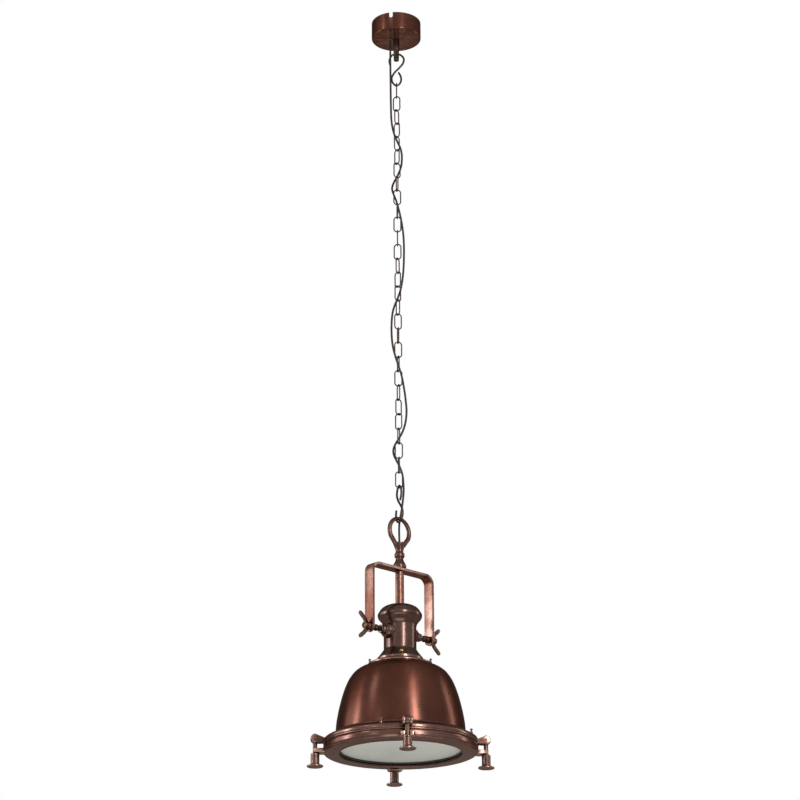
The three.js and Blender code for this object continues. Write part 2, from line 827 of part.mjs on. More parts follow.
// ---- Shade -----------------------------------------------------------------------------------
function topFlange() {
  const edge = flangeDiameter / 2;
  const collar = collarDiameter / 2 + 1;
  const bore = nippleDiameter / 2 + gap;
  const hole = shadeHoleDiameter / 2;
  const outline = [
    [bore, flangeTopZ - flangePlate],
    [hole, flangeTopZ - flangePlate],
    [edge - flangeRollWidth, flangeTopZ - flangePlate],
    [edge - flangeRollWidth / 2, flangeUnderZ],
    [edge, flangeUnderZ],
    [edge, flangeUnderZ + flangeRoll / 2],
    [edge - flangeRollWidth / 3, flangeUnderZ + flangeRoll],
    [collar, flangeTopZ],
    [bore, flangeTopZ],
  ];
  return piece("top_flange", turnedRing(outline, mediumSides), "copper");
}

// A small upright pin with a wider foot, stood at a radius from the axis.
function uprightPin(name, height, standRadius, standZ, angle) {
  const radius = nibDiameter / 2;
  const outline = [
    [0, 0],
    [radius + nibFoot, 0],
    [radius, nibFootHeight],
    [radius, height - nibTopChamfer],
    [radius - nibTopChamfer, height],
    [0, height],
  ];
  const pin = turned(outline, smallSides).translate(standRadius, 0, standZ);
  return piece(name, pin.rotateZ(angle * degrees), "bronze");
}

function flangeNib(name, angle) {
  const standRadius = flangeDiameter / 2 - flangeRollWidth / 2;
  return uprightPin(name, nibHeight, standRadius, flangeUnderZ + flangeRoll + 1.9, angle);
}

// Outside of the shade from its edge up to its crown, or its inside where a wall is given.
function shadeOutline(wall) {
  const top = shadeTopDiameter / 2;
  const edge = shadeDiameter / 2;
  const shoulder = [
    [edge, shadeEndZ],
    [edge, shadeEndZ + 0.12 * shadeHeight],
    [top + 0.92 * (edge - top), shadeEndZ + 0.37 * shadeHeight],
    [top + 0.73 * (edge - top), shadeEndZ + 0.68 * shadeHeight],
    [top + 0.48 * (edge - top), shadeEndZ + 0.885 * shadeHeight],
    [top + 0.24 * (edge - top), shadeEndZ + 0.965 * shadeHeight],
    [top - 3, shadeTopZ],
  ];
  return shoulder.map(([radius, height], i) => {
    const drop = wall * Math.min(1, (i / (shoulder.length - 1)) ** 2 * 1.2);
    const side = wall * Math.sqrt(Math.max(0, 1 - (i / shoulder.length) ** 4));
    return [radius - side, i === 0 ? height : height - drop];
  });
}

function shade() {
  const hole = shadeHoleDiameter / 2;
  const outside = [...shadeOutline(0), [hole, shadeTopZ]];
  const inside = [...shadeOutline(shadeWall), [hole, shadeTopZ - shadeWall]].reverse();
  return piece("shade", turnedRing([...outside, ...inside], largeSides), "copper");
}

// ---- Rim, bezel and glass --------------------------------------------------------------------
function clampPlaces() {
  return Array.from({ length: clampCount }, (_, i) => clampAngle + (i * 360) / clampCount);
}

// An ear stands in the plane of the axis and holds the swing bolt's pin.
function rimEar(offset) {
  const root = rimDiameter / 2 - 4;
  const ear = new THREE.Shape();
  ear.moveTo(root, clampPivotZ - earRadius);
  ear.lineTo(clampRadius, clampPivotZ - earRadius);
  ear.absarc(clampRadius, clampPivotZ, earRadius, -Math.PI / 2, Math.PI / 2, false);
  ear.lineTo(clampRadius - 2, clampPivotZ + earRadius);
  ear.quadraticCurveTo(root + 6, clampPivotZ + earRadius - 2, root, clampPivotZ + 1);
  return plate(ear, earThickness, 3).translate(0, offset, 0);
}

function crossPin(diameter, length) {
  const pin = rod(diameter, -length / 2, length / 2, 8).rotateX(Math.PI / 2);
  return pin.translate(clampRadius, 0, clampPivotZ);
}

function rimRing() {
  const edge = rimDiameter / 2;
  const shadeOuter = shadeDiameter / 2;
  const seat = shadeOuter - rimLedgeReach;
  const ledgeZ = shadeEndZ - gap;
  const outline = [
    [edge - rimWall, rimUnderZ],
    [edge - 1.5, rimUnderZ],
    [edge, rimUnderZ + 2],
    [edge, rimUnderZ + rimSkirt],
    [edge - 3, rimUnderZ + rimSkirt + 3.5],
    [shadeOuter + 4, rimTopZ - 3.5],
    [shadeOuter + 1.2, rimTopZ],
    [shadeOuter + gap, rimTopZ],
    [shadeOuter + gap, ledgeZ],
    [seat, ledgeZ],
    [seat, ledgeZ - rimLedge],
    [shadeOuter + 1.5, ledgeZ - rimLedge],
    [shadeOuter + 1.5, rimUnderZ + rimRebate],
    [edge - rimWall, rimUnderZ + rimRebate],
  ];
  const earOffset = (boltEyeThickness + earThickness) / 2 + gap;
  const places = clampPlaces();
  const ears = places.flatMap((angle) =>
    [-1, 1].map((side) => rimEar(side * earOffset).rotateZ(angle * degrees)),
  );
  const holes = places.map((angle) => crossPin(pinDiameter + 2 * gap, 40).rotateZ(angle * degrees));
  return piece("rim_ring", cut(join(turnedRing(outline, largeSides), ...ears), ...holes), "copper");
}

function rimScrew(name, angle) {
  const standRadius = (rimDiameter + shadeDiameter) / 4 + 2.5;
  const standZ = (rimTopZ + rimUnderZ) / 2 + rimScrewRise;
  return uprightPin(name, rimScrewHeight, standRadius, standZ, angle);
}

function gasket() {
  const edge = rimDiameter / 2 - rimWall - 2 * gap;
  const inner = shadeDiameter / 2 + 3;
  const seal = pipe(2 * edge, 2 * inner, glassTopZ() + gap, rimUnderZ + rimRebate - gap, largeSides);
  return piece("rim_gasket", seal, "rubber");
}

function glassTopZ() {
  return bezelUnderZ + bezelFace + gap + gasketThickness + gap + glassThickness;
}

function glassEdge() {
  return rimDiameter / 2 - bezelWall - glassInset;
}

function lensGasket() {
  const bottomZ = bezelUnderZ + bezelFace + gap;
  const outer = 2 * glassEdge() + 2;
  const seal = pipe(outer, glassSightDiameter, bottomZ, bottomZ + gasketThickness, largeSides);
  return piece("lens_gasket", seal, "rubber");
}

function lens() {
  const radius = glassEdge();
  const disc = rod(2 * radius, glassTopZ() - glassThickness, glassTopZ(), largeSides);
  return piece("lens", disc, "frosted");
}

function bezel() {
  const edge = rimDiameter / 2;
  const opening = bezelOpening / 2;
  const outline = [
    [opening, bezelUnderZ],
    [edge - bezelChamfer, bezelUnderZ],
    [edge, bezelUnderZ + bezelChamfer],
    [edge, bezelTopZ],
    [edge - bezelWall, bezelTopZ],
    [edge - bezelWall, bezelUnderZ + bezelFace],
    [opening, bezelUnderZ + bezelFace],
  ];
  const root = edge - bezelWall;
  const tip = clampRadius + forkTip;
  const middleZ = bezelUnderZ + forkHeight / 2;
  const forks = [];
  const slots = [];
  for (const angle of clampPlaces()) {
    const fork = block(tip - root, forkWidth, forkHeight, (tip + root) / 2, 0, middleZ);
    const slotStart = clampRadius - forkSlot / 2 - 1;
    const slotEnd = tip + 1;
    const slotMiddle = (slotStart + slotEnd) / 2;
    const slot = block(slotEnd - slotStart, forkSlot, forkHeight + 2, slotMiddle, 0, middleZ);
    forks.push(fork.rotateZ(angle * degrees));
    slots.push(slot.rotateZ(angle * degrees));
  }
  return piece("bezel", cut(join(turnedRing(outline, largeSides), ...forks), ...slots), "copper");
}

// ---- Clamps ----------------------------------------------------------------------------------
function swingBolt(name, angle) {
  const eye = rod(boltEyeDiameter, -boltEyeThickness / 2, boltEyeThickness / 2);
  eye.rotateX(Math.PI / 2).translate(clampRadius, 0, clampPivotZ);
  const shank = rod(boltDiameter, clampPivotZ - boltLength, clampPivotZ - 2).translate(clampRadius, 0, 0);
  const bolt = cut(join(eye, shank), crossPin(pinDiameter + 2 * gap, 20));
  return piece(name, bolt.rotateZ(angle * degrees), "bronze");
}

function clampPin(name, angle) {
  const length = boltEyeThickness + 2 * earThickness + 4 * gap;
  return piece(name, crossPin(pinDiameter, length).rotateZ(angle * degrees), "bronze");
}

function thumbNut(name, angle) {
  const barrel = thumbBarrelDiameter / 2;
  const disc = thumbDiscDiameter / 2;
  const bore = boltDiameter / 2 + gap;
  const bottomZ = thumbTopZ - thumbHeight;
  const discTopZ = bottomZ + thumbDiscThickness;
  const boreEndZ = clampPivotZ - boltLength - 0.5;
  const outline = [
    [0, bottomZ],
    [disc - thumbChamfer, bottomZ],
    [disc, bottomZ + thumbChamfer],
    [disc, discTopZ - thumbChamfer],
    [disc - thumbChamfer, discTopZ],
    [barrel + thumbChamfer, discTopZ],
    [barrel, discTopZ + thumbChamfer],
    [barrel, thumbTopZ],
    [bore, thumbTopZ],
    [bore, boreEndZ],
    [0, boreEndZ],
  ];
  const nut = turned(outline, smallSides).translate(clampRadius, 0, 0);
  return piece(name, nut.rotateZ(angle * degrees), "bronze");
}

// ---- Lamp ------------------------------------------------------------------------------------
function lampHolder() {
  const outer = holderDiameter / 2;
  const inner = outer - holderWall;
  const nipple = nippleDiameter / 2;
  const bore = nippleBore / 2;
  const topZ = flangeTopZ - flangePlate - gap;
  const bottomZ = topZ - holderHeight;
  const outline = [
    [inner, bottomZ],
    [outer, bottomZ],
    [outer, topZ - 3],
    [outer - 3, topZ],
    [nipple, topZ],
    [nipple, topZ + nippleLength],
    [bore, topZ + nippleLength],
    [bore, topZ - holderRoof],
    [inner, topZ - holderRoof],
  ];
  return piece("lamp_holder", turnedRing(outline, smallSides), "porcelain");
}

function holderNut() {
  const bottomZ = flangeTopZ + gap;
  const nut = hexNut(holderNutFlats, nippleDiameter + 2 * gap, bottomZ, bottomZ + holderNutHeight);
  return piece("holder_nut", nut, "steel");
}

function bulb() {
  const capRadius = bulbCapDiameter / 2;
  const radius = bulbDiameter / 2;
  const topZ = flangeTopZ - flangePlate - gap - holderRoof - bulbDrop;
  const neckZ = topZ - bulbCapLength;
  const endZ = neckZ - bulbGlassLength;
  const ballZ = endZ + radius;
  const outline = [[0, endZ]];
  for (let step = 1; step <= 6; step += 1) {
    const angle = (-90 + step * 18) * degrees;
    outline.push([radius * Math.cos(angle), ballZ + radius * Math.sin(angle)]);
  }
  outline.push([radius * 0.8, ballZ + radius * 0.75]);
  outline.push([capRadius + 1.5, neckZ + 3 - 9]);
  outline.push([capRadius, neckZ]);
  outline.push([capRadius, topZ - 3]);
  outline.push([capRadius - 7, topZ]);
  outline.push([0, topZ]);
  return piece("bulb", turned(outline, smallSides), "bulb");
}

// ---- Assembly --------------------------------------------------------------------------------
const lantern = new THREE.Group();

lantern.add(ceilingStrap(), ceilingCup(), hookStem(), stemNut(), leadBush(), terminalBlock());
lantern.add(upperHook(), ...chain(), lowerHook(), ...lead());

const head = new THREE.Group();
head.rotation.z = headAngle * degrees;
head.add(eyeBolt(), bail(), downTube(), tubeNut(), neckCap(), earthScrewPiece());
head.add(pivotStud("pivot_stud_near", -1), pivotStud("pivot_stud_far", 1));
head.add(wingNut("wing_nut_near", -1), wingNut("wing_nut_far", 1));
lantern.add(head);

lantern.add(topFlange(), flangeNib("flange_nib_left", 180), flangeNib("flange_nib_right", 0), shade());
lantern.add(rimRing(), gasket(), bezel(), lensGasket(), lens());
rimScrewAngles.forEach((angle, i) => lantern.add(rimScrew(`rim_screw_${i + 1}`, angle)));
lantern.add(lampHolder(), holderNut(), bulb());
clampPlaces().forEach((angle, i) => {
  const number = i + 1;
  lantern.add(swingBolt(`swing_bolt_${number}`, angle));
  lantern.add(clampPin(`clamp_pin_${number}`, angle));
  lantern.add(thumbNut(`thumb_nut_${number}`, angle));
});

export default lantern;
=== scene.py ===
"""Looks of the hanging ship's lantern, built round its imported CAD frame. Metres, +Z up."""
import json
import math

import bmesh
import bpy
import numpy as np
from mathutils import Matrix, Vector


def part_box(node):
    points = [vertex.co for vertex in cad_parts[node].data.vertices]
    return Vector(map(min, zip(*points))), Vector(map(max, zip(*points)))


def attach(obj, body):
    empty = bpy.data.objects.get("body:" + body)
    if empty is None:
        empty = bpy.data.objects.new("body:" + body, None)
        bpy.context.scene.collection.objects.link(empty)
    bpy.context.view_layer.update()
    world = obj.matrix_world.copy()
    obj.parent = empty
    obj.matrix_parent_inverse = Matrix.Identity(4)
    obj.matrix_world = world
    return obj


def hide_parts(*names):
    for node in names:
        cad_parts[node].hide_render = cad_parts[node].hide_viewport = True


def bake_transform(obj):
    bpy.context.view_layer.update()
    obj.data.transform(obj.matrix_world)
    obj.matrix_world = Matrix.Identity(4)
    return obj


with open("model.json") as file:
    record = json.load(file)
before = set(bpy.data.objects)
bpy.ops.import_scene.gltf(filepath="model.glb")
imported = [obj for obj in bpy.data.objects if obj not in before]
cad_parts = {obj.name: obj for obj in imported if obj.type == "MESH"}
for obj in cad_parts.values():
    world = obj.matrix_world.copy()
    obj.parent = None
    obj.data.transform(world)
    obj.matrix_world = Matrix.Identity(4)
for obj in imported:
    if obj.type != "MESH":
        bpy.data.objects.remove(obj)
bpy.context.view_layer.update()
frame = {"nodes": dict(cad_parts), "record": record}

MM = 0.001
FULL_TURN = 2 * math.pi

# ---- Dimensions shared with the CAD part, in metres --------------------------------------------
LEAD_DIAMETER = 4 * MM
LEAD_STEP = 1.5 * MM
HOOK_WIRE = 4 * MM
LINK_COUNT = 29
LINKS_PER_NODE = 3
LINK_WIRE = 2.5 * MM
LINK_WIDTH = 16 * MM
BAIL_WIDTH = 21.5 * MM
# Turn of the chain about its own axis, as link number and degrees from the XZ plane.
CHAIN_TWIST = [
    (1, 90), (3, 55), (6, 40), (8, 14), (9, 10), (11, 0), (12, 0), (16, -52),
    (19, -80), (21, -76), (22, -90), (25, -30), (27, 0), (29, 16),
]
# The lead's route out of the bush, round the chain, past the lower hook and into the eye's bore.
LEAD_ROUTE = [
    (-0.012, 0, -0.034), (-0.012, 0, -0.044), (-0.012, -0.0034, -0.062), (-0.012, -0.0052, -0.084),
    (-0.0118, -0.0048, -0.132), (-0.0114, -0.0044, -0.180), (-0.0106, -0.005, -0.216),
    (-0.008, -0.007, -0.238), (-0.004, -0.009, -0.254), (0.0008, -0.0092, -0.267),
    (0.0066, -0.0074, -0.280), (0.0094, -0.003, -0.291), (0.0096, 0.0016, -0.302),
    (0.008, 0.0064, -0.314), (0.0032, 0.0096, -0.327), (-0.0026, 0.010, -0.339),
    (-0.0072, 0.0074, -0.350), (-0.0098, 0.002, -0.361), (-0.0092, -0.004, -0.372),
    (-0.0062, -0.008, -0.383), (-0.0024, -0.0096, -0.394), (0.001, -0.0106, -0.407),
    (0.005, -0.0096, -0.424), (0.009, -0.0074, -0.446), (0.0118, -0.0042, -0.472),
    (0.0124, -0.0006, -0.504), (0.0104, 0.004, -0.545), (0.0058, 0.0082, -0.574),
    (0, 0.0104, -0.592), (-0.006, 0.0086, -0.608), (-0.0104, 0.005, -0.626),
    (-0.0126, 0.0004, -0.660), (-0.0106, -0.005, -0.696), (-0.0052, -0.0092, -0.722),
    (0.0004, -0.0106, -0.741), (0.006, -0.0088, -0.760), (0.0102, -0.0056, -0.782),
    (0.0134, -0.0022, -0.806), (0.015, 0.001, -0.830), (0.0126, 0.0054, -0.851),
    (0.0076, 0.0094, -0.866), (0.0014, 0.011, -0.878), (-0.005, 0.0092, -0.889),
    (-0.0092, 0.0046, -0.900), (-0.0104, -0.0004, -0.910), (-0.0086, -0.0058, -0.921),
    (-0.0036, -0.0098, -0.933), (0.0024, -0.010, -0.946), (0.0066, -0.0072, -0.959),
    (0.0082, -0.0034, -0.974), (0.0084, 0.0006, -0.990), (0.0066, 0.0046, -1.008),
    (0.0036, 0.0078, -1.028), (0.0006, 0.0094, -1.044), (-0.0004, 0.0062, -1.060),
    (-0.0003, 0.0016, -1.076), (0, 0, -1.094),
]
HEAD_ANGLE = math.radians(43)  # turn of the eye, bail and wing nuts about the vertical axis
LOWER_HOOK_ANGLE = math.radians(116)
CLAMP_ANGLE = math.radians(-85.5)
CLAMP_COUNT = 4
CLAMP_RADIUS = 154.4 * MM  # of the circle that the four hinge pins stand on


# ---- Heights read from the frame ---------------------------------------------------------------
def top_of(node):
    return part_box(node)[1].z


def bottom_of(node):
    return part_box(node)[0].z


def radius_of(node):
    return max(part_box(node)[1].x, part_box(node)[1].y)


# ---- Curve helpers -----------------------------------------------------------------------------
def centripetal(points, step):
    """Evenly spaced points on the centripetal Catmull-Rom curve that the CAD lead follows."""
    p = [Vector(q) for q in points]
    p = [2 * p[0] - p[1], *p, 2 * p[-1] - p[-2]]
    dense = []
    for a, b, c, d in zip(p, p[1:], p[2:], p[3:]):
        t1 = (b - a).length ** 0.5
        t2 = t1 + (c - b).length ** 0.5
        t3 = t2 + (d - c).length ** 0.5
        for i in range(40):
            t = t1 + (t2 - t1) * i / 40
            ab = a * ((t1 - t) / t1) + b * (t / t1)
            bc = b * ((t2 - t) / (t2 - t1)) + c * ((t - t1) / (t2 - t1))
            cd = c * ((t3 - t) / (t3 - t2)) + d * ((t - t2) / (t3 - t2))
            abc = ab * ((t2 - t) / t2) + bc * (t / t2)
            bcd = bc * ((t3 - t) / (t3 - t1)) + cd * ((t - t1) / (t3 - t1))
            dense.append(abc * ((t2 - t) / (t2 - t1)) + bcd * ((t - t1) / (t2 - t1)))
    dense.append(Vector(points[-1]))
    return evenly_spaced(dense, step)


def evenly_spaced(points, step):
    p = np.array([tuple(q) for q in points])
    along = np.concatenate([[0], np.cumsum(np.linalg.norm(np.diff(p, axis=0), axis=1))])
    count = 2 * max(2, round(along[-1] / step / 2))
    marks = np.linspace(0, along[-1], count + 1)
    return [Vector([float(np.interp(m, along, p[:, axis])) for axis in range(3)]) for m in marks]


def scaled(outline, base=0.0):
    """Millimetre points in metres, with their heights counted from a base height."""
    return [(r * MM, base + z * MM) for r, z in outline]


def smoothed(outline, per_span=5):
    """An outline's points joined by a Catmull-Rom curve, in its own plane."""
    p = [Vector(q) for q in outline]
    p = [2 * p[0] - p[1], *p, 2 * p[-1] - p[-2]]
    result = []
    for a, b, c, d in zip(p, p[1:], p[2:], p[3:]):
        for i in range(per_span):
            t = i / per_span
            point = 0.5 * (
                2 * b + (c - a) * t + (2 * a - 5 * b + 4 * c - d) * t**2 + (3 * b - a - 3 * c + d) * t**3
            )
            result.append(tuple(point))
    return [*result, tuple(outline[-1])]


def rounded(outline, radius, closed=True, steps=4):
    """An outline with each sharp corner turned into a small arc."""
    p = [Vector(q) for q in outline]
    result = []
    for i, corner in enumerate(p):
        if not closed and i in (0, len(p) - 1):
            result.append(tuple(corner))
            continue
        before = p[i - 1] - corner
        after = p[(i + 1) % len(p)] - corner
        if before.length < 1e-7 or after.length < 1e-7 or math.pi - before.angle(after) < 0.15:
            result.append(tuple(corner))
            continue
        reach = min(radius, 0.45 * before.length, 0.45 * after.length)
        start = corner + before.normalized() * reach
        end = corner + after.normalized() * reach
        for step in range(steps + 1):
            t = step / steps
            result.append(tuple(start * (1 - t) ** 2 + corner * 2 * t * (1 - t) + end * t**2))
    return result


# ---- Mesh helpers ------------------------------------------------------------------------------
CREASE_ANGLE = math.radians(38)  # edges sharper than this stay sharp in the smooth shading


def new_piece(name, points, faces):
    mesh = bpy.data.meshes.new(name)
    mesh.from_pydata([tuple(p) for p in points], [], faces)
    edit = bmesh.new()
    edit.from_mesh(mesh)
    bmesh.ops.remove_doubles(edit, verts=edit.verts, dist=1e-7)
    bmesh.ops.recalc_face_normals(edit, faces=edit.faces)
    edit.to_mesh(mesh)
    edit.free()
    piece = bpy.data.objects.new(name, mesh)
    bpy.context.scene.collection.objects.link(piece)
    return piece


def lathe(name, outline, segments=96, swell=None):
    """Turns (radius, height) points about Z. An outline off the axis closes on itself."""
    ring = outline[0][0] > 0
    points = []
    for i in range(segments):
        angle = FULL_TURN * i / segments
        for radius, height in outline:
            r = radius * swell(angle, radius) if swell else radius
            points.append((r * math.cos(angle), r * math.sin(angle), height))
    count = len(outline)
    faces = []
    for i in range(segments):
        here, there = i * count, (i + 1) % segments * count
        for j in range(count if ring else count - 1):
            k = (j + 1) % count
            faces.append((here + j, there + j, there + k, here + k))
    return new_piece(name, points, faces)


def cylinder(name, radius, low, high, segments=32):
    return lathe(name, [(0, low), (radius, low), (radius, high), (0, high)], segments)


def tube(name, path, radius, sides=16, closed=False, round_ends=True, swell=None):
    """A round wire along a path, with domed ends; swell is its thickness at a share of its length."""
    p = [Vector(q) for q in path]
    count = len(p)
    tangents = []
    for i in range(count):
        before = p[i - 1] if closed or i else p[0]
        after = p[(i + 1) % count] if closed or i < count - 1 else p[-1]
        tangents.append((after - before).normalized())
    side = tangents[0].orthogonal().normalized()
    rings = []
    for centre, tangent in zip(p, tangents):
        side = (side - tangent * side.dot(tangent)).normalized()
        share = len(rings) / (count - 1)
        rings.append((centre, side.copy(), tangent.cross(side), swell(share) if swell else 1.0))
    if round_ends and not closed:
        first_end = domed_end(rings[0], -tangents[0], radius)
        last_end = domed_end(rings[-1], tangents[-1], radius)
        rings = [*reversed(first_end), *rings, *last_end]
    points, faces = [], []
    for centre, u, v, scale in rings:
        for s in range(sides):
            angle = FULL_TURN * s / sides
            points.append(centre + radius * scale * (math.cos(angle) * u + math.sin(angle) * v))
    spans = len(rings) if closed else len(rings) - 1
    for i in range(spans):
        here, there = i * sides, (i + 1) % len(rings) * sides
        for s in range(sides):
            t = (s + 1) % sides
            faces.append((here + s, here + t, there + t, there + s))
    if not closed:
        faces.append(tuple(range(sides)))
        faces.append(tuple(range((len(rings) - 1) * sides, len(rings) * sides)))
    return new_piece(name, points, faces)


def domed_end(ring, outwards, radius):
    """Rings of shrinking size that close the end of a wire."""
    centre, u, v, scale = ring
    rings = []
    for degrees in (25, 50, 72):
        a = math.radians(degrees)
        rings.append((centre + outwards * radius * scale * math.sin(a), u, v, scale * math.cos(a)))
    return rings


def plate(name, outline, thickness):
    """A flat plate from an outline in X and Z, centred on y = 0."""
    count = len(outline)
    points = [(x, y, z) for y in (-thickness / 2, thickness / 2) for x, z in outline]
    faces = [tuple(range(count)), tuple(range(count, 2 * count))]
    for i in range(count):
        j = (i + 1) % count
        faces.append((i, j, count + j, count + i))
    return new_piece(name, points, faces)


def arc(centre_x, centre_z, radius, start, end, steps=10):
    """Points on an arc in the XZ plane, between two angles in degrees."""
    angles = [math.radians(start + (end - start) * i / steps) for i in range(steps + 1)]
    return [(centre_x + radius * math.cos(a), centre_z + radius * math.sin(a)) for a in angles]


def box_piece(name, low, high):
    outline = [(low[0], low[2]), (high[0], low[2]), (high[0], high[2]), (low[0], high[2])]
    block = plate(name, outline, high[1] - low[1])
    return moved(block, Matrix.Translation((0, (low[1] + high[1]) / 2, 0)))


def moved(piece, *matrices):
    for matrix in matrices:
        piece.data.transform(matrix)
    return piece


def turned_z(angle):
    return Matrix.Rotation(angle, 4, "Z")


def apply_modifiers(piece):
    bpy.context.view_layer.update()
    graph = bpy.context.evaluated_depsgraph_get()
    mesh = bpy.data.meshes.new_from_object(piece.evaluated_get(graph))
    piece.modifiers.clear()
    piece.data = mesh
    return piece


def combine(piece, operation, *tools):
    for tool in tools:
        modifier = piece.modifiers.new("combine", "BOOLEAN")
        modifier.operation = operation
        modifier.solver = "EXACT"
        modifier.object = tool
        apply_modifiers(piece)
        bpy.data.objects.remove(tool)
    return piece


def bevel(piece, width, segments=3, angle=32):
    modifier = piece.modifiers.new("bevel", "BEVEL")
    modifier.width = width
    modifier.segments = segments
    modifier.limit_method = "ANGLE"
    modifier.angle_limit = math.radians(angle)
    modifier.harden_normals = False
    return apply_modifiers(piece)


def place(piece, body, slot, nodes=(), look=None):
    """Gives a finished mesh its smooth shading and the material of its slot or look, hides the CAD nodes
    it stands for and hangs it on its body.
    """
    piece.data.shade_smooth()
    piece.data.set_sharp_from_angle(angle=CREASE_ANGLE)
    piece.data.materials.clear()
    piece.data.materials.append(materials[look or slot])
    if nodes:
        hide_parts(*nodes)
    if body:
        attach(piece, body)
    return piece


# ---- Materials ---------------------------------------------------------------------------------
class Shader:
    """A node material, with short calls to add and join nodes."""

    def __init__(self, name):
        self.material = bpy.data.materials.new(name)
        self.material.use_nodes = True
        self.tree = self.material.node_tree
        self.surface = self.tree.nodes["Principled BSDF"]
        self.place = self.add("ShaderNodeTexCoord").outputs["Object"]

    def add(self, kind, inputs=None, **settings):
        node = self.tree.nodes.new(kind)
        for key, value in settings.items():
            setattr(node, key, value)
        for key, value in (inputs or {}).items():
            self.set(node.inputs[key], value)
        return node

    def set(self, socket, value):
        if isinstance(value, bpy.types.NodeSocket):
            self.tree.links.new(value, socket)
        else:
            socket.default_value = value

    def noise(self, scale, detail=4, roughness=0.55, stretch=None, distortion=0.0):
        """Noise from 0 to 1; stretch squeezes it along the axes."""
        vector = self.place
        if stretch:
            vector = self.add("ShaderNodeMapping", {"Vector": vector, "Scale": stretch}).outputs[0]
        inputs = {"Vector": vector, "Scale": scale, "Detail": detail}
        inputs.update({"Roughness": roughness, "Distortion": distortion})
        return self.add("ShaderNodeTexNoise", inputs).outputs["Fac"]

    def ramp(self, value, *stops):
        node = self.add("ShaderNodeValToRGB", {"Fac": value})
        elements = node.color_ramp.elements
        while len(elements) < len(stops):
            elements.new(0.5)
        for element, (position, colour) in zip(elements, stops):
            element.position = position
            element.color = (*colour, 1)
        return node.outputs["Color"]

    def span(self, value, low, high, from_low=0.0, from_high=1.0):
        """The value's range stretched to run from low to high, and clamped there."""
        inputs = {"Value": value, "From Min": from_low, "From Max": from_high}
        inputs.update({"To Min": low, "To Max": high})
        return self.add("ShaderNodeMapRange", inputs, clamp=True).outputs["Result"]

    def math(self, operation, a, b):
        node = self.add("ShaderNodeMath", operation=operation)
        self.set(node.inputs[0], a)
        self.set(node.inputs[1], b)
        return node.outputs[0]

    def mix(self, share, a, b):
        node = self.add("ShaderNodeMix", data_type="RGBA")
        self.set(node.inputs["Factor"], share)
        self.set(node.inputs[6], a if isinstance(a, bpy.types.NodeSocket) else (*a, 1))
        self.set(node.inputs[7], b if isinstance(b, bpy.types.NodeSocket) else (*b, 1))
        return node.outputs[2]

    def bump(self, height, depth, strength=1.0, below=None):
        inputs = {"Height": height, "Distance": depth, "Strength": strength}
        if below:
            inputs["Normal"] = below
        return self.add("ShaderNodeBump", inputs).outputs["Normal"]

    def finish(self, **inputs):
        for key, value in inputs.items():
            self.set(self.surface.inputs[key.replace("_", " ")], value)
        return self.material


def aged_metal(
    name, shades, worn_and_lit, roughness, brushing=0.0, coat=0.25, wear_and_highlight=0.6, grain=1.0, edge=0.515
):
    """Lacquered antique metal: cloudy patina, spinning marks, edges lightened as rubbed wear and painted
    highlight, and hollows darkened as painted shade.
    """
    s = Shader(name)
    dark, middle, light = shades
    clouds = s.noise(16, detail=6, roughness=0.62, distortion=0.6)
    specks = s.noise(240, detail=3)
    patina = s.ramp(clouds, (0.32, dark), (0.5, middle), (0.7, light))
    freckled = s.mix(s.span(specks, 0, 0.45, 0.56, 0.75), patina, dark)
    point = s.add("ShaderNodeNewGeometry").outputs["Pointiness"]
    # Sharp edges lightened toward the worn colour: partly rubbed wear, partly painted highlight.
    edges = s.span(point, 0, wear_and_highlight, edge, edge + 0.045)
    rubbed_and_highlit = s.math("MULTIPLY", edges, s.span(s.noise(55), 0.35, 1, 0.35, 0.6))
    edged = s.mix(rubbed_and_highlit, freckled, worn_and_lit)
    # Hollows and creases darkened: painted shade.
    painted_hollow_shade = s.span(point, 0.75, 0, 0.43, 0.49)
    colour = s.mix(painted_hollow_shade, edged, tuple(0.45 * c for c in dark))
    lines = s.noise(1.0, detail=2, roughness=0.7, stretch=(4, 4, 1500))
    fine = s.noise(900, detail=2)
    cloudy = s.span(clouds, roughness - 0.07, roughness + 0.09)
    dull = s.math("ADD", cloudy, s.span(fine, -0.04, 0.04))
    brushed = s.math("ADD", dull, s.span(lines, -0.1 * brushing, 0.1 * brushing))
    normal = s.bump(fine, 0.03 * MM * grain, 0.35)
    normal = s.bump(s.noise(95, detail=2), 0.12 * MM * grain, 0.25, below=normal)
    if brushing:
        normal = s.bump(lines, 0.035 * MM * brushing, 0.5, below=normal)
        tangent = s.add("ShaderNodeTangent", direction_type="RADIAL", axis="Z").outputs[0]
        s.finish(Anisotropic=0.85 * brushing, Anisotropic_Rotation=0.25, Tangent=tangent)
    s.finish(Base_Color=colour, Metallic=0.95, Roughness=brushed, Normal=normal)
    s.finish(Specular_Tint=GRAZING_TINT)
    return s.finish(Coat_Weight=coat, Coat_Roughness=0.22, Coat_IOR=1.45)


def plain_stuff(name, low, high, roughness, scale, depth, glaze):
    """Rubber, plastic or porcelain: a slight cloud in the colour and a fine grain."""
    s = Shader(name)
    clouds = s.noise(30, detail=5)
    grain = s.noise(scale, detail=3)
    colour = s.mix(s.span(grain, 0, 0.5, 0.4, 0.7), s.ramp(clouds, (0.35, low), (0.68, high)), low)
    normal = s.bump(grain, depth, 0.5)
    dull = s.span(clouds, roughness - 0.06, roughness + 0.08)
    return s.finish(Base_Color=colour, Roughness=dull, Normal=normal, Coat_Weight=glaze)


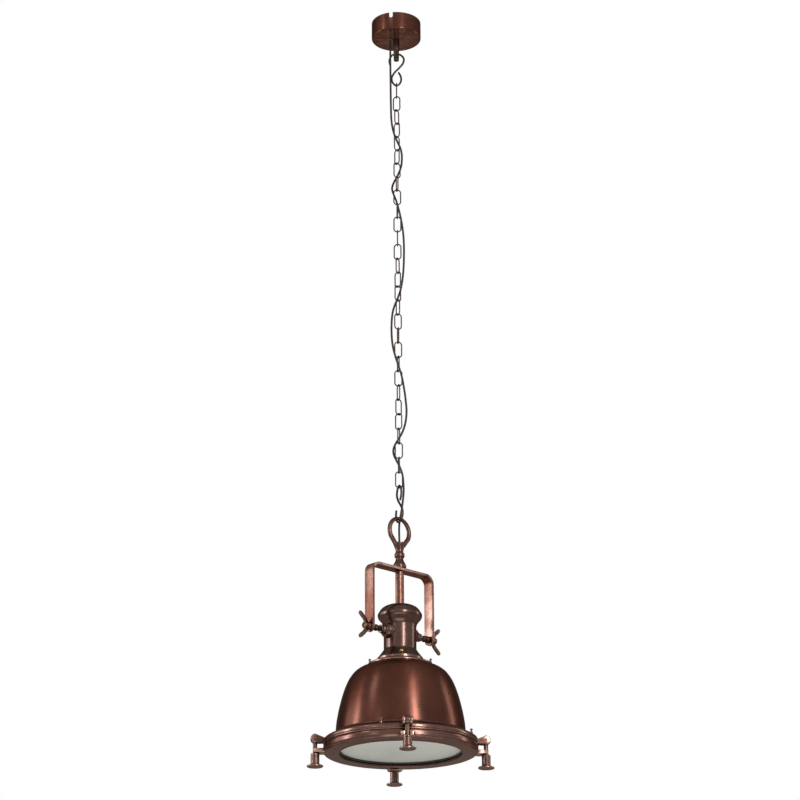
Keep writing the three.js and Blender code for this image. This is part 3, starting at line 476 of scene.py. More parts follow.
def lead_sheath():
    """Matt black flex with the faint lay of its cores showing through."""
    s = Shader("lead_sheath")
    clouds = s.noise(60, detail=4)
    grain = s.noise(1400, detail=2)
    colour = s.ramp(clouds, (0.35, (0.006, 0.006, 0.006)), (0.7, (0.016, 0.015, 0.014)))
    lay = {"Vector": s.place, "Scale": 55, "Distortion": 1.5}
    wave = s.add("ShaderNodeTexWave", lay, bands_direction="Z").outputs["Fac"]
    normal = s.bump(grain, 0.02 * MM, 0.4, below=s.bump(wave, 0.06 * MM, 0.3))
    return s.finish(Base_Color=colour, Roughness=s.span(grain, 0.42, 0.6), Normal=normal)


def frosted_glass():
    """Etched pane: milky, faintly green, with a fine sandblasted grain."""
    s = Shader("frosted_glass")
    clouds = s.noise(9, detail=5)
    grain = s.noise(2600, detail=2)
    colour = s.ramp(clouds, (0.3, (0.76, 0.78, 0.71)), (0.7, (0.88, 0.89, 0.83)))
    normal = s.bump(grain, 0.03 * MM, 0.5)
    s.finish(Base_Color=colour, Roughness=s.span(grain, 0.4, 0.55), Normal=normal)
    return s.finish(IOR=1.5, Transmission_Weight=0.18, Coat_Weight=0.15, Coat_Roughness=0.25)


GRAZING_TINT = (0.55, 0.38, 0.32, 1)  # of the metals, seen edge-on
# Dark, middle and light shade of each metal's patina.
COPPER = ((0.088, 0.028, 0.017), (0.112, 0.037, 0.023), (0.138, 0.048, 0.031))
RIM = ((0.080, 0.033, 0.024), (0.125, 0.054, 0.040), (0.165, 0.075, 0.056))
CASTING = ((0.072, 0.037, 0.028), (0.110, 0.058, 0.044), (0.150, 0.082, 0.063))
BRIGHT = ((0.095, 0.034, 0.021), (0.135, 0.050, 0.033), (0.175, 0.068, 0.046))
BRONZE = ((0.030, 0.019, 0.015), (0.058, 0.036, 0.028), (0.095, 0.060, 0.047))
CLAMP = ((0.070, 0.035, 0.027), (0.130, 0.070, 0.054), (0.200, 0.112, 0.088))
BRASS = ((0.30, 0.19, 0.07), (0.48, 0.32, 0.12), (0.60, 0.42, 0.18))
STEEL = ((0.36, 0.36, 0.35), (0.50, 0.50, 0.49), (0.62, 0.62, 0.60))

# Each metal look: its shades, the colour of its edges (rubbed wear and painted highlight), its roughness
# and its other settings.
METALS = {
    "copper_lacquer": (COPPER, (0.42, 0.22, 0.16), 0.31, {"brushing": 0.9, "wear_and_highlight": 0.5}),
    "cast_copper": (CASTING, (0.34, 0.19, 0.14), 0.24, {"coat": 0.5, "wear_and_highlight": 0.5}),
    # The rim's strong pale edge lines are mostly painted highlight.
    "rim_copper": (
        RIM, (0.66, 0.42, 0.33), 0.26, {"brushing": 0.5, "coat": 0.4, "wear_and_highlight": 1.0, "edge": 0.504}
    ),
    "polished_copper": (
        BRIGHT, (0.80, 0.52, 0.44), 0.33, {"coat": 0.2, "wear_and_highlight": 0.8, "grain": 0.4}
    ),
    "eye_bronze": (CASTING, (0.30, 0.17, 0.13), 0.28, {"wear_and_highlight": 0.35}),
    "dark_bronze": (BRONZE, (0.26, 0.18, 0.145), 0.32, {"wear_and_highlight": 0.28}),
    "clamp_bronze": (CLAMP, (0.52, 0.33, 0.27), 0.28, {}),
    "brass_screw": (BRASS, (0.80, 0.62, 0.32), 0.25, {}),
    "galvanised_steel": (STEEL, (0.7, 0.7, 0.7), 0.38, {"coat": 0.0}),
}
# Each plain look: its two colours, its roughness, its grain's scale and depth, and its glaze.
PLAIN = {
    "seal_rubber": ((0.020, 0.030, 0.026), (0.040, 0.055, 0.048), 0.55, 700, 0.04 * MM, 0.0),
    "terminal_plastic": ((0.62, 0.60, 0.53), (0.74, 0.72, 0.66), 0.45, 500, 0.02 * MM, 0.0),
    "porcelain": ((0.70, 0.68, 0.62), (0.82, 0.80, 0.76), 0.22, 300, 0.02 * MM, 0.5),
    "bulb_glass": ((0.78, 0.77, 0.72), (0.88, 0.87, 0.84), 0.3, 900, 0.01 * MM, 0.0),
}

materials = {"lead_sheath": lead_sheath(), "frosted_glass": frosted_glass()}
for look, (shades, worn_and_lit, roughness, more) in METALS.items():
    materials[look] = aged_metal(look, shades, worn_and_lit, roughness, **more)
for look, settings in PLAIN.items():
    materials[look] = plain_stuff(look, *settings)


# ---- Camera ------------------------------------------------------------------------------------
CAMERA_PLACE = (0.0028, -4.4, -2.447)
CAMERA_PITCH = 20.45  # degrees above the horizon
CAMERA_ROLL = -0.38
CAMERA_LENS = 111.5  # millimetres, on a 36 mm sensor


def make_camera():
    data = bpy.data.cameras.new("camera")
    data.sensor_width = 36
    data.lens = CAMERA_LENS
    camera = bpy.data.objects.new("camera", data)
    tilt = Matrix.Rotation(math.radians(90 + CAMERA_PITCH), 4, "X")
    roll = Matrix.Rotation(math.radians(CAMERA_ROLL), 4, "Z")
    camera.matrix_world = Matrix.Translation(CAMERA_PLACE) @ tilt @ roll
    bpy.context.scene.collection.objects.link(camera)
    bpy.context.scene.camera = camera


# ---- Cords -------------------------------------------------------------------------------------
def make_lead():
    """The lead is one curve, split in the middle of the chain where its two CAD solids meet."""
    path = centripetal(LEAD_ROUTE, LEAD_STEP)
    middle = len(path) // 2
    halves = {"lead_upper": path[: middle + 1], "lead_lower": path[middle:]}
    for node, points in halves.items():
        piece = tube(node + "_flex", points, LEAD_DIAMETER / 2, sides=14, round_ends=False)
        place(piece, None, "lead_sheath", [node])
        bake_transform(piece)


# ---- Ceiling cup and stem ----------------------------------------------------------------------
def make_ceiling_cup():
    outer = radius_of("ceiling_cup")
    floor = bottom_of("ceiling_cup")
    wall = 1.5 * MM
    inner = outer - wall
    bend = 2.5 * MM
    foot = arc(outer - bend, floor + bend, bend, -90, 0)
    lip = [foot[-1], (outer, 0), (inner, 0), (inner, floor + wall), (0, floor + wall)]
    cup = lathe("cup_shell", [(0, floor), *foot[:-1], *rounded(lip, 0.4 * MM, closed=False)], 160)
    notch_half = 3.5 * MM
    notch_end = arc(0, -8 * MM, notch_half, 180, 360)
    notch_turn = math.radians(-12)  # to the left of straight ahead
    notch = plate("notch", [(-notch_half, 0.005), *notch_end, (notch_half, 0.005)], 12 * MM)
    moved(notch, Matrix.Translation((0, -outer, 0)), turned_z(notch_turn))
    reach = 10 * MM
    stem_hole = cylinder("hole", 4.4 * MM, floor - reach, floor + reach)
    lead_hole = cylinder("hole", 4.1 * MM, floor - reach, floor + reach)
    moved(lead_hole, Matrix.Translation((LEAD_ROUTE[0][0], 0, 0)))
    combine(cup, "DIFFERENCE", notch, stem_hole, lead_hole)
    place(cup, "ceiling", "copper_lacquer", ["ceiling_cup"])


def make_hook_stem():
    top = top_of("hook_stem")
    bottom = bottom_of("hook_stem")
    shoulder = bottom_of("ceiling_cup") - 0.3 * MM
    step = shoulder - 24 * MM
    outline = [
        (0, bottom), (4.6 * MM, bottom), (5.2 * MM, bottom + 0.6 * MM), (5.2 * MM, bottom + 4.2 * MM),
        (4.4 * MM, bottom + 5 * MM), (5.5 * MM, bottom + 6 * MM), (5.5 * MM, step),
        (6.5 * MM, step + 0.8 * MM), (6.5 * MM, step + 3 * MM), (6.1 * MM, step + 3.6 * MM),
        (6.5 * MM, step + 4.2 * MM), (6.5 * MM, shoulder), (4 * MM, shoulder), (4 * MM, top), (0, top),
    ]
    stem = lathe("stem", rounded(outline, 0.35 * MM, closed=False), 48)
    hole_z = bottom + 14.8 * MM
    hole = cylinder("hole", 3.5 * MM, -12 * MM, 12 * MM)
    moved(hole, Matrix.Rotation(math.pi / 2, 4, "Y"), Matrix.Translation((0, 0, hole_z)))
    combine(stem, "DIFFERENCE", hole)
    bevel(stem, 0.4 * MM, segments=2, angle=50)
    place(stem, "ceiling", "dark_bronze", ["hook_stem"])


def make_lead_bush():
    top = top_of("lead_bush")
    bottom = bottom_of("lead_bush")
    floor = bottom_of("ceiling_cup") - 0.3 * MM
    bore = LEAD_DIAMETER / 2 + 0.1 * MM
    outline = [
        (bore, bottom), (3.4 * MM, bottom), (4.7 * MM, bottom + 1 * MM), (4.7 * MM, floor),
        (3.8 * MM, floor), (3.8 * MM, top), (bore, top),
    ]
    bush = lathe("bush", rounded(outline, 0.4 * MM), 48)
    moved(bush, Matrix.Translation((LEAD_ROUTE[0][0], 0, 0)))
    place(bush, "ceiling", "seal_rubber", ["lead_bush"])


# ---- Hooks and chain ---------------------------------------------------------------------------
# An S-hook's centre line in X and Z, in millimetres, with its large bow's top at z = 0.
HOOK_LINE = [
    (-12.5, -24.5), (-14, -15.5), (-9.2, -3.6), (0, 0), (9.2, -3), (14.8, -11), (13.2, -21),
    (5, -32), (-4.6, -43), (-9.6, -55), (-6.2, -66.4), (0, -71), (6.4, -66.6), (9.4, -57),
    (7.4, -47.5), (4.6, -42.5),
]


def make_hooks():
    upper_top = top_of("upper_hook") - HOOK_WIRE / 2
    lower_bottom = bottom_of("lower_hook") + HOOK_WIRE / 2
    upper = [(x * MM, 0, upper_top + z * MM) for x, z in HOOK_LINE]
    lower = [(-x * MM, 0, lower_bottom - z * MM) for x, z in HOOK_LINE]
    for node, line, turn in (("upper_hook", upper, 0), ("lower_hook", lower, LOWER_HOOK_ANGLE)):
        hook = tube(node + "_wire", centripetal(line, 1.2 * MM), HOOK_WIRE / 2, sides=20)
        moved(hook, turned_z(turn))
        place(hook, "chain", "dark_bronze", [node])


def twist_at(link):
    numbers = [number for number, _ in CHAIN_TWIST]
    turns = [turn for _, turn in CHAIN_TWIST]
    return math.radians(float(np.interp(link, numbers, turns)))


def link_path(length):
    """A link's centre line: two half circles joined by slightly bowed sides."""
    bend = (LINK_WIDTH - LINK_WIRE) / 2
    half = (length - LINK_WIDTH) / 2
    top = arc(0, half, bend, 0, 180, 14)
    bottom = arc(0, -half, bend, 180, 360, 14)
    shares = [i / 6 for i in range(1, 6)]
    side = [(-bend * (1 - 0.02 * math.sin(math.pi * t)), half - 2 * half * t) for t in shares]
    other = [(-x, -z) for x, z in side]
    return [(x, 0, z) for x, z in [*top, *side, *bottom, *other]]


def make_chain():
    groups = sorted(node for node in frame["nodes"] if node.startswith("chain_links_"))
    top = top_of(groups[0])
    bottom = bottom_of(groups[-1])
    # Links hang on each other wire to wire, so the pitch is a link's length less two wires.
    pitch = (top - bottom - 2 * LINK_WIRE) / LINK_COUNT
    length = pitch + 2 * LINK_WIRE
    path = link_path(length)
    for number in range(1, LINK_COUNT + 1):
        link = tube(f"link_{number:02d}", path, LINK_WIRE / 2, sides=14, closed=True)
        quarter = math.pi / 2 if number % 2 == 0 else 0
        height = top - length / 2 - (number - 1) * pitch
        moved(link, turned_z(twist_at(number) + quarter), Matrix.Translation((0, 0, height)))
        first = (number - 1) % LINKS_PER_NODE == 0
        nodes = [groups[(number - 1) // LINKS_PER_NODE]] if first else []
        place(link, "chain", "dark_bronze", nodes)


# ---- Eye, bail and tube ------------------------------------------------------------------------
PIVOT_Z = bottom_of("bail") + BAIL_WIDTH / 2


def make_eye():
    """A drop-shaped ring, thicker down its sides, on a turned stem with a dish under it."""
    wire = 7 * MM
    top = top_of("eye_bolt") - wire / 2
    seat = top_of("bail") + 0.3 * MM
    foot = bottom_of("eye_bolt")
    bow = 24.4 * MM
    crown = arc(0, top - bow, bow, -30, 210, 40)
    hip = (17 * MM, top - 41.5 * MM)
    toe = (9.6 * MM, seat + 46 * MM)
    line = [toe, hip, *crown, (-hip[0], hip[1]), (-toe[0], toe[1])]
    ring = tube(
        "eye", centripetal([(x, 0, z) for x, z in line], 1.5 * MM), wire / 2, sides=28,
        swell=lambda share: 1 + 0.24 * abs(math.cos(math.pi * share)),
    )
    bore = 3 * MM
    profile = [
        (12, 0), (12.5, 0.6), (12.5, 6), (11.6, 7.8), (10.4, 10), (8, 14.6), (6.9, 19), (7.4, 20.6),
        (9.1, 22), (9.6, 25.4), (9.1, 29), (7.4, 30.8), (7, 33), (7.8, 37), (10.4, 44.4), (11.5, 47.4),
        (10.6, 49.6),
    ]
    outline = [
        (bore, foot), (4.7 * MM, foot), (4.7 * MM, seat), *scaled(profile, seat),
        (bore + 1 * MM, seat + 50.6 * MM), (bore, seat + 50 * MM),
    ]
    stem = lathe("eye_bolt_turned", rounded(outline, 1.2 * MM), 72)
    combine(stem, "UNION", ring)
    moved(stem, turned_z(HEAD_ANGLE))
    place(stem, "lamp", "polished_copper", ["eye_bolt"], look="eye_bronze")


def make_bail():
    span = 149 * MM
    thick = 5 * MM
    corner = 18 * MM
    top = top_of("bail")
    outer = span / 2 + thick / 2
    inner = span / 2 - thick / 2
    small = corner - thick
    outline = [
        *arc(outer - corner, top - corner, corner, 0, 90),
        *arc(-outer + corner, top - corner, corner, 90, 180),
        (-outer, PIVOT_Z), (-inner, PIVOT_Z),
        *arc(-inner + small, top - thick - small, small, 180, 90),
        *arc(inner - small, top - thick - small, small, 90, 0),
        (inner, PIVOT_Z), (outer, PIVOT_Z),
    ]
    strip = plate("bail_strap", outline, BAIL_WIDTH)
    across = Matrix.Rotation(math.pi / 2, 4, "Y")
    for side in (-1, 1):
        end = cylinder("end", BAIL_WIDTH / 2, -thick / 2, thick / 2, 64)
        moved(end, across, Matrix.Translation((side * span / 2, 0, PIVOT_Z)))
        combine(strip, "UNION", end)
    bevel(strip, 1.1 * MM, angle=40)
    moved(strip, turned_z(HEAD_ANGLE))
    place(strip, "lamp", "polished_copper", ["bail"])


def make_down_tube():
    radius, bore = 8 * MM, 5 * MM
    top, bottom = top_of("down_tube"), bottom_of("down_tube")
    outline = [(bore, bottom), (radius, bottom), (radius, top), (bore, top)]
    pipe = lathe("stem_tube", rounded(outline, 0.5 * MM), 64)
    place(pipe, "lamp", "polished_copper", ["down_tube"])


# ---- Cap and neck ------------------------------------------------------------------------------
def sideways(piece, side):
    """Lays a piece turned about Z along the pivots' axis, out to one side."""
    turn = Matrix.Rotation(side * math.pi / 2, 4, "Y")
    return moved(piece, turn, Matrix.Translation((0, 0, PIVOT_Z)), turned_z(HEAD_ANGLE))


def make_neck_cap():
    top = top_of("neck_cap")
    foot = bottom_of("neck_cap")
    head = [(8.4, 0), (16, -0.8), (25, -3.2), (32.4, -7.2), (36.6, -11.8), (38.2, -14.6)]
    brim = [
        (38.6, -15.6), (40.4, -18), (41, -21.6), (39.8, -26), (36.4, -30.4), (32.8, -35),
        (30.6, -40), (30, -45),
    ]
    sweep = [(30, 24), (30.3, 21.4), (32, 18.4), (36.4, 12.4), (40.8, 6.8), (42.4, 4.6)]
    collar = [(43, 4), (43, 0.6), (42.4, 0), (26.5, 0)]
    inside = [(26.5, -45), (34, -29), (37.2, -21.6), (33, -12), (22, -5.5), (8.4, -3.5)]
    outline = [
        *scaled(smoothed(head), top),
        *scaled(smoothed(brim), top),
        *scaled(smoothed(sweep), foot),
        *scaled(collar, foot),
        *scaled(inside, top),
    ]
    casting = lathe("cap_and_neck", outline, 144)
    lug = [
        (0, 27.5), (16, 27.5), (14.6, 30.5), (14, 32.4), (13.4, 35), (11.2, 37.6), (8.6, 39.2), (8, 41),
        (8.8, 42.4), (8.8, 44), (7.6, 45.4), (7.5, 50), (0, 50),
    ]
    for side in (-1, 1):
        boss = lathe("lug", rounded(scaled(lug), 0.8 * MM, closed=False), 56)
        combine(casting, "UNION", sideways(boss, side))
    place(casting, "lamp", "cast_copper", ["neck_cap"])


def make_earth_screw():
    low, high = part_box("earth_screw")
    middle = (low + high) / 2
    slope_out, slope_down = 11 * MM, 14.5 * MM
    tilt = math.atan2(slope_out, slope_down)
    outline = [
        (0, -4 * MM), (2 * MM, -4 * MM), (2 * MM, 0), (3.9 * MM, 0), (4 * MM, 0.8 * MM),
        (3.6 * MM, 2 * MM), (2.2 * MM, 2.9 * MM), (0, 3.1 * MM),
    ]
    screw = lathe("brass_earth_screw", rounded(outline, 0.3 * MM, closed=False), 40)
    slot = box_piece("slot", (-6 * MM, -0.5 * MM, 1.9 * MM), (6 * MM, 0.5 * MM, 5 * MM))
    combine(screw, "DIFFERENCE", slot)
    azimuth = math.atan2(middle.y, middle.x) + math.pi / 2
    reach = math.hypot(middle.x, middle.y)
    moved(
        screw,
        Matrix.Rotation(math.pi / 2 - tilt, 4, "X"),
        Matrix.Translation((0, -reach, middle.z)),
        turned_z(azimuth),
    )
    place(screw, "lamp", "brass_screw", ["earth_screw"])


def make_pivots():
    stud = [
        (0, 38.3), (4, 38.3), (4, 50.3), (4.8, 50.3), (4.8, 56), (5.6, 57.6), (6.4, 60), (5.6, 62.4),
        (4.8, 64), (6, 65.8), (6.5, 66.2), (6.5, 71.2), (4, 71.7), (4, 87.4), (3.4, 88), (0, 88),
    ]
    for name, side in (("near", -1), ("far", 1)):
        pin = lathe("pivot_" + name, rounded(scaled(stud), 0.6 * MM, closed=False), 48)
        nut = "wing_nut_" + name
        place(sideways(pin, side), "lamp", "dark_bronze", ["pivot_stud_" + name])
        place(wing_nut(name, side), nut, "dark_bronze", [nut], look="clamp_bronze")


def wing_nut(name, side):
    """A hub with two ear-shaped wings that rise outwards from it, drawn along +Z."""
    start = 77.3
    end = 89.3
    hub = [
        (4.3, start), (7, start), (7.5, start + 0.5), (7.5, start + 2.6), (6.9, start + 3.4),
        (6.6, start + 6), (5.9, end - 0.6), (5.4, end), (4.3, end),
    ]
    nut = lathe("wing_nut_turned_" + name, rounded(scaled(hub), 0.5 * MM), 48)
    outer_edge = [(4.6, 2.2), (7, 2.6), (11, 4.6), (15.6, 8.2), (20, 13)]
    tip = [(22.8, 16), (24.7, 19.4), (24.6, 22), (22, 23.8)]
    inner_edge = [(19, 22.8), (15, 18.6), (11.6, 14.4), (8.2, 11.6), (4.6, 10.8)]
    wing = [(x, start + z) for edge in (outer_edge, tip, inner_edge) for x, z in smoothed(edge)]
    for turn in (0, math.pi):
        ear = bevel(plate("ear", scaled(wing), 3.6 * MM), 1.3 * MM)
        combine(nut, "UNION", moved(ear, turned_z(turn)))
    return sideways(nut, side)


# ---- Flange and shade --------------------------------------------------------------------------
def make_top_flange():
    top, under = top_of("top_flange"), bottom_of("top_flange")
    outline = [
        (5.3 * MM, top - 4 * MM), (51 * MM, top - 4 * MM), (55.5 * MM, under),
        *arc(57.4 * MM, under + 2.6 * MM, 2.6 * MM, -90, 110, 12),
        (54 * MM, under + 5.6 * MM), (49 * MM, under + 8.4 * MM), (44.5 * MM, top), (5.3 * MM, top),
    ]
    flange = lathe("crown_flange", outline, 144)
    place(flange, "lamp", "copper_lacquer", ["top_flange"], look="rim_copper")


def upright_pin(name, node, root):
    """A small pin with a domed head and a wider foot that runs down into the slope under it."""
    low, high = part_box(node)
    height = high.z - low.z
    centre = (low + high) / 2
    outline = [
        (0, -root), (2.7 * MM, -root), (2.7 * MM, 0.8 * MM), (1.9 * MM, 2.2 * MM), (1.6 * MM, 3.2 * MM),
        (1.6 * MM, height - 3.2 * MM), (2.4 * MM, height - 2.4 * MM), (2.5 * MM, height - 1.2 * MM),
        (1.6 * MM, height - 0.3 * MM), (0, height),
    ]
    pin = lathe(name, rounded(outline, 0.4 * MM, closed=False), 32)
    moved(pin, Matrix.Translation((centre.x, centre.y, low.z)))
    place(pin, "lamp", "dark_bronze", [node], look="clamp_bronze")


def make_shade():
    top, edge = top_of("shade"), bottom_of("shade")
    wall = 1.2 * MM
    crown = [
        (59, 0), (66.5, -1.8), (74.4, -5), (81.6, -9.8), (88, -16.4), (95.2, -27.6), (101.6, -42.6),
        (107.6, -62), (112.6, -83), (115.8, -101), (117.2, -114), (117.5, -122), (117.5, -132),
    ]
    outside = scaled(smoothed(crown, 8), top)
    outside[-1] = (outside[-1][0], edge)
    inside = []
    for (r0, z0), (r1, z1) in zip(outside, outside[1:]):
        run = math.hypot(r1 - r0, z1 - z0)
        inside.append((r0 + wall * (z1 - z0) / run, z0 - wall * (r1 - r0) / run))
    inside.append((outside[-1][0] - wall, edge))
    hole = 24 * MM
    outline = [(hole, top), *outside, *inside[::-1], (hole, top - wall)]
    dome = lathe("dome", outline, 224)
    place(dome, "lamp", "copper_lacquer", ["shade"])


# ---- Rim, glass and bezel ----------------------------------------------------------------------
def clamp_angles():
    return [CLAMP_ANGLE + FULL_TURN * i / CLAMP_COUNT for i in range(CLAMP_COUNT)]


CLAMP_PIVOT_Z = bottom_of("rim_ring") + 11 * MM


def make_rim():
    top, under = top_of("rim_ring"), bottom_of("rim_ring")
    ledge = bottom_of("shade") - 0.3 * MM
    foot = [
        (134.5, 0), (138.6, 0), (139.6, 0.9), (139.6, 2.4), (138.9, 3), (140, 4), (140, 8),
        (138.6, 10.4), (135.4, 12.2),
    ]
    slope = [(128, -6), (122.6, -3.6), (121.4, -0.9), (119.8, 0), (117.8, 0)]
    step = [(117.8, 0), (108.5, 0), (108.5, -3), (119, -3)]
    seat = [(119, 9.5), (134.5, 9.5)]
    outline = [
        *scaled(foot, under), *scaled(slope, top), *scaled(step, ledge), *scaled(seat, under),
    ]
    ring = lathe("rim", rounded(outline, 1 * MM), 224)
    ear_outline = [
        (134.8 * MM, CLAMP_PIVOT_Z - 7 * MM), (CLAMP_RADIUS, CLAMP_PIVOT_Z - 8 * MM),
        *arc(CLAMP_RADIUS, CLAMP_PIVOT_Z, 8 * MM, -84, 96, 14),
        (146 * MM, CLAMP_PIVOT_Z + 4.6 * MM), (136.4 * MM, CLAMP_PIVOT_Z + 0.4 * MM),
    ]
    for angle in clamp_angles():
        for side in (-1, 1):
            ear = bevel(plate("ear", ear_outline, 4.5 * MM), 0.9 * MM)
            moved(ear, Matrix.Translation((0, side * 6.55 * MM, 0)), turned_z(angle))
            combine(ring, "UNION", ear)
    place(ring, "lamp", "cast_copper", ["rim_ring"], look="rim_copper")


def make_bezel():
    top, under = top_of("bezel"), bottom_of("bezel")
    face = [
        (110.4, 0.6), (111, -0.6), (112.6, -0.7), (113.4, 0.2), (135.5, 0.2), (138.6, 1.8),
        (140, 5.4),
    ]
    rim = [(140, -3.4), (139.2, -0.8), (138, 0), (137, 0)]
    back = [(137, 5), (112, 5), (110.4, 2.6)]
    outline = [*scaled(face, under), *scaled(rim, top), *scaled(back, under)]
    ring = lathe("bezel_ring", rounded(outline, 1 * MM), 224)
    tip = 157.8 * MM
    shoulder = 148 * MM
    root = 137.4 * MM
    half = 14 * MM
    slot = 4.5 * MM
    slot_end = 150.5 * MM
    fork_outline = [
        (root, -half), (shoulder, -half), (tip, -half + 3 * MM), (tip, -slot), (slot_end, -slot),
        *arc(slot_end, 0, slot, -90, -270), (slot_end, slot), (tip, slot),
        (tip, half - 3 * MM), (shoulder, half), (root, half),
    ]
    lying = Matrix.Rotation(-math.pi / 2, 4, "X")
    for angle in clamp_angles():
        fork = bevel(plate("fork", fork_outline, 7 * MM), 0.8 * MM)
        moved(fork, lying, Matrix.Translation((0, 0, under + 3.5 * MM)), turned_z(angle))
        combine(ring, "UNION", fork)
    place(ring, "lamp", "cast_copper", ["bezel"], look="rim_copper")


def make_glass():
    edge = radius_of("lens")
    top, under = top_of("lens"), bottom_of("lens")
    pane_outline = [(0, under), (edge, under), (edge, top), (0, top)]
    pane = lathe("glass", rounded(pane_outline, 0.6 * MM, closed=False), 160)
    place(pane, "lamp", "frosted_glass", ["lens"])
    seal_top = under - 0.1 * MM
    seal_under = bottom_of("lens_gasket")
    inner = 108.4 * MM
    outer = 132 * MM
    seal_outline = [(inner, seal_under), (outer, seal_under), (outer, seal_top), (inner, seal_top)]
    seal = lathe("glass_seal", rounded(seal_outline, 0.8 * MM), 160)
    place(seal, "lamp", "seal_rubber", ["lens_gasket"])


# ---- Clamps ------------------------------------------------------------------------------------
BARREL_RADIUS = 8 * MM
FLUTE_COUNT = 12
FLUTE_DEPTH = 0.075  # as a share of the radius


def flutes(angle, radius):
    """Rounded grooves down the thumb nut's barrel, and none on its disc or bore."""
    if not 0.9 * BARREL_RADIUS < radius < 1.025 * BARREL_RADIUS:
        return 1.0
    return 1 - FLUTE_DEPTH * max(0.0, math.cos(FLUTE_COUNT * angle)) ** 0.7


def make_clamps():
    for number, angle in enumerate(clamp_angles(), 1):
        bolt_node = f"swing_bolt_{number}"
        nut_node = f"thumb_nut_{number}"
        out = Matrix.Translation((CLAMP_RADIUS, 0, 0))
        turn = turned_z(angle)
        bolt = moved(swing_bolt(number, bottom_of(bolt_node)), out, turn)
        place(bolt, bolt_node, "clamp_bronze", [bolt_node])
        pin = moved(hinge_pin(number), out, turn)
        place(pin, "lamp", "clamp_bronze", [f"clamp_pin_{number}"], look="dark_bronze")
        nut = moved(thumb_nut(number, nut_node), out, turn)
        place(nut, nut_node, "clamp_bronze", [nut_node])


def on_hinge(piece):
    """Lays a piece turned about Z along the hinge's axis."""
    across = Matrix.Rotation(math.pi / 2, 4, "X")
    return moved(piece, across, Matrix.Translation((0, 0, CLAMP_PIVOT_Z)))


def swing_bolt(number, end):
    outline = [(0, -4), (7.8, -4), (8.5, -3.2), (8.5, 3.2), (7.8, 4), (0, 4)]
    eye = lathe(f"bolt_eye_{number}", rounded(scaled(outline), 0.5 * MM, closed=False), 56)
    shank_top = CLAMP_PIVOT_Z - 3 * MM
    shank = [(0, end), (3.4 * MM, end), (4 * MM, end + 0.6 * MM), (4 * MM, shank_top), (0, shank_top)]
    return combine(on_hinge(eye), "UNION", lathe("shank", shank, 40))


def hinge_pin(number):
    outline = [(0, -9.1), (1.6, -9), (2.5, -8.4), (2.5, 8.4), (1.6, 9), (0, 9.1)]
    return on_hinge(lathe(f"hinge_pin_{number}", scaled(outline), 32))


def thumb_nut(number, node):
    top, bottom = top_of(node), bottom_of(node)
    bore = 4.3 * MM
    bore_end = bottom_of(f"swing_bolt_{number}") - 0.5 * MM
    disc = [
        (0, 0), (13.6, 0), (14.7, 0.7), (14.9, 1.7), (14.5, 2.8), (13.4, 3.4), (10.4, 3.7),
        (8.9, 4.1),
    ]
    foot = bottom + 5 * MM
    rise = top - 1 * MM - foot
    steps = 10
    barrel = [(BARREL_RADIUS, foot + rise * i / steps) for i in range(steps + 1)]
    mouth = [(7 * MM, top), (bore, top), (bore, bore_end), (0, bore_end)]
    outline = [*scaled(disc, bottom), *barrel, *mouth]
    return lathe(f"thumb_nut_fluted_{number}", outline, 144, swell=flutes)


# ---- Lamp inside the shade ---------------------------------------------------------------------
def make_lamp():
    top, bottom = top_of("lamp_holder"), bottom_of("lamp_holder")
    roof = top - 14 * MM
    outline = [
        (15, bottom), (19, bottom), (20, bottom + 1 * MM), (20, bottom + 6 * MM),
        (18.8, bottom + 8 * MM), (18.8, roof - 6 * MM), (17, roof), (5, roof), (5, top), (3, top),
        (3, roof - 8 * MM), (15, roof - 8 * MM),
    ]
    outline = [(r * MM, z) for r, z in outline]
    holder = lathe("holder_porcelain", rounded(outline, 0.8 * MM), 72)
    place(holder, "lamp", "porcelain", ["lamp_holder"])
    bulb_top, end = top_of("bulb"), bottom_of("bulb")
    ball_radius = 30 * MM
    ball = end + ball_radius
    globe = [(0, end), *arc(0, ball, ball_radius, -90, 24, 20)[1:]]
    shoulder = scaled([(24, 22), (18, 34), (14.6, 46)], ball)
    cap = scaled([(13.5, -28), (13.5, -3), (6.5, 0), (0, 0)], bulb_top)
    bulb = lathe("bulb_opal", [*globe, *shoulder, *cap], 72)
    place(bulb, "lamp", "bulb_glass", ["bulb"])


def finish_cad_nodes():
    """The CAD nodes that still show, inside the cup and the head, take their detailed materials."""
    for entry in frame["record"]["subparts"]:
        node = frame["nodes"][entry["node"]]
        node.data.materials.clear()
        node.data.materials.append(materials[entry["material_slot"]])


# ---- Studio ------------------------------------------------------------------------------------
FLOOR_LEVEL = -2.75
FLOOR_HALF = 14.0


def make_floor():
    sides = (-FLOOR_HALF, FLOOR_HALF)
    corners = [(x, y, FLOOR_LEVEL) for x in sides for y in sides]
    floor = new_piece("studio_floor", corners, [(0, 2, 3, 1)])
    s = Shader("studio_floor")
    shade = s.ramp(s.noise(1.5), (0.3, (0.80, 0.80, 0.79)), (0.7, (0.84, 0.84, 0.83)))
    floor.data.materials.append(s.finish(Base_Color=shade, Roughness=0.8))


# Tall soft strips round the lamp: azimuth in degrees (0 is the camera's side, 90 its right),
# lower and upper end, width, distance, and power in watts.
STRIPS = {
    "left_strip": (-84, -1.4, -0.40, 0.3, 2.0, 9),
    "left_fill": (-100, -1.4, -0.48, 0.9, 2.0, 4.5),
    "front_strip": (26, -1.4, 0.1, 0.26, 2.0, 24),
    "front_left_strip": (-38, -1.2, -0.8, 0.2, 2.0, 0.8),
    "right_strip": (104, -1.4, 0.0, 0.24, 2.0, 5),
    "top_left_strip": (-60, 0.1, 1.0, 0.4, 2.2, 6),
}


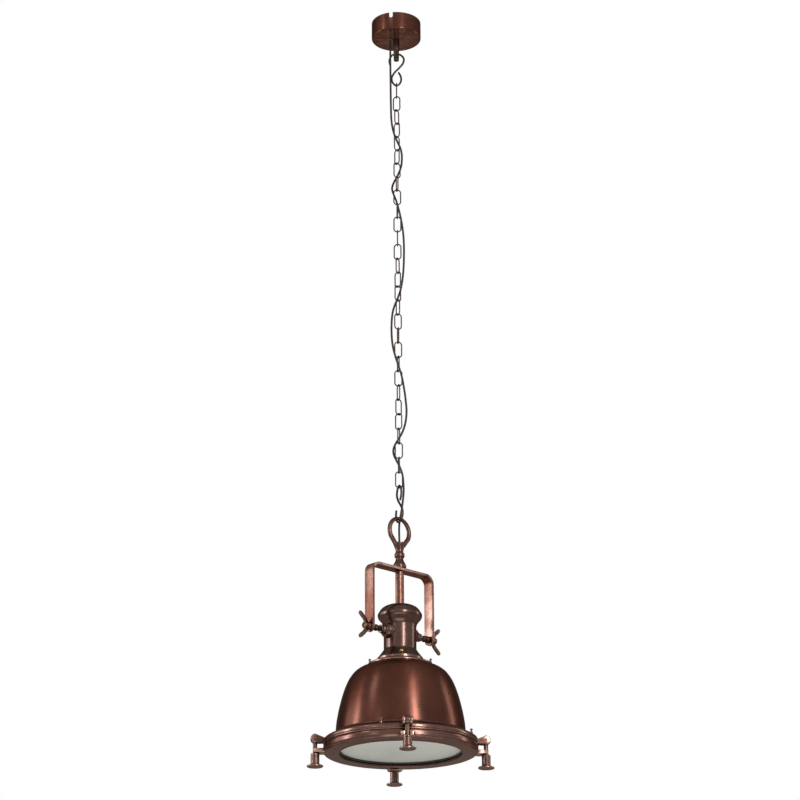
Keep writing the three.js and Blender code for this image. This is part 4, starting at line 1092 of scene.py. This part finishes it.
def area_light(name, spot, target_height, width, height, power):
    """A soft light at a spot, facing the lantern's axis at the height given."""
    data = bpy.data.lights.new(name, "AREA")
    data.shape = "RECTANGLE"
    data.size = width
    data.size_y = height
    data.energy = power
    light = bpy.data.objects.new(name, data)
    light.location = spot
    facing = Vector((0, 0, target_height)) - Vector(spot)
    light.rotation_euler = facing.to_track_quat("-Z", "Y").to_euler()
    light.visible_camera = False
    bpy.context.scene.collection.objects.link(light)


def make_lights():
    for name, (azimuth, low, high, width, distance, power) in STRIPS.items():
        turn = math.radians(azimuth)
        middle = (low + high) / 2
        spot = (distance * math.sin(turn), -distance * math.cos(turn), middle)
        area_light(name, spot, middle, width, high - low, power)
    # One more from the floor's side, for the glass and the bezel's underside.
    area_light("floor_fill", (0, -1.2, -2.7), -1.4, 1.6, 1.6, 12)


def make_surroundings():
    """White surroundings as the camera sees them, and softer grey ones in the metal's reflections."""
    world = bpy.data.worlds.new("studio")
    bpy.context.scene.world = world
    world.use_nodes = True
    tree = world.node_tree
    tree.nodes.clear()
    seen = tree.nodes.new("ShaderNodeBackground")
    seen.inputs["Color"].default_value = (1, 1, 1, 1)
    lit = tree.nodes.new("ShaderNodeBackground")
    lit.inputs["Color"].default_value = (1, 0.975, 0.95, 1)
    # Reflected surroundings are bright on the camera's side and dim behind the lantern.
    direction = tree.nodes.new("ShaderNodeTexCoord")
    parts = tree.nodes.new("ShaderNodeSeparateXYZ")
    fade = tree.nodes.new("ShaderNodeMapRange")
    span = {"From Min": -0.3, "From Max": 0.7, "To Min": 0.62, "To Max": 0.14}
    for key, value in span.items():
        fade.inputs[key].default_value = value
    rays = tree.nodes.new("ShaderNodeLightPath")
    choice = tree.nodes.new("ShaderNodeMixShader")
    output = tree.nodes.new("ShaderNodeOutputWorld")
    tree.links.new(direction.outputs["Generated"], parts.inputs[0])
    tree.links.new(parts.outputs["Y"], fade.inputs["Value"])
    tree.links.new(fade.outputs[0], lit.inputs["Strength"])
    tree.links.new(rays.outputs["Is Camera Ray"], choice.inputs[0])
    tree.links.new(lit.outputs[0], choice.inputs[1])
    tree.links.new(seen.outputs[0], choice.inputs[2])
    tree.links.new(choice.outputs[0], output.inputs[0])


# ---- Assembly ----------------------------------------------------------------------------------
make_camera()
make_lead()
finish_cad_nodes()
make_ceiling_cup()
make_hook_stem()
make_lead_bush()
make_hooks()
make_chain()
make_eye()
make_bail()
make_down_tube()
make_neck_cap()
make_earth_screw()
make_pivots()
make_top_flange()
upright_pin("nib_left", "flange_nib_left", 1.5 * MM)
upright_pin("nib_right", "flange_nib_right", 1.5 * MM)
for screw_number in range(1, 5):
    upright_pin(f"rim_pin_{screw_number}", f"rim_screw_{screw_number}", 3.6 * MM)
make_shade()
make_rim()
make_bezel()
make_glass()
make_clamps()
make_lamp()
make_floor()
make_lights()
make_surroundings()
bpy.context.scene.view_settings.view_transform = "Standard"
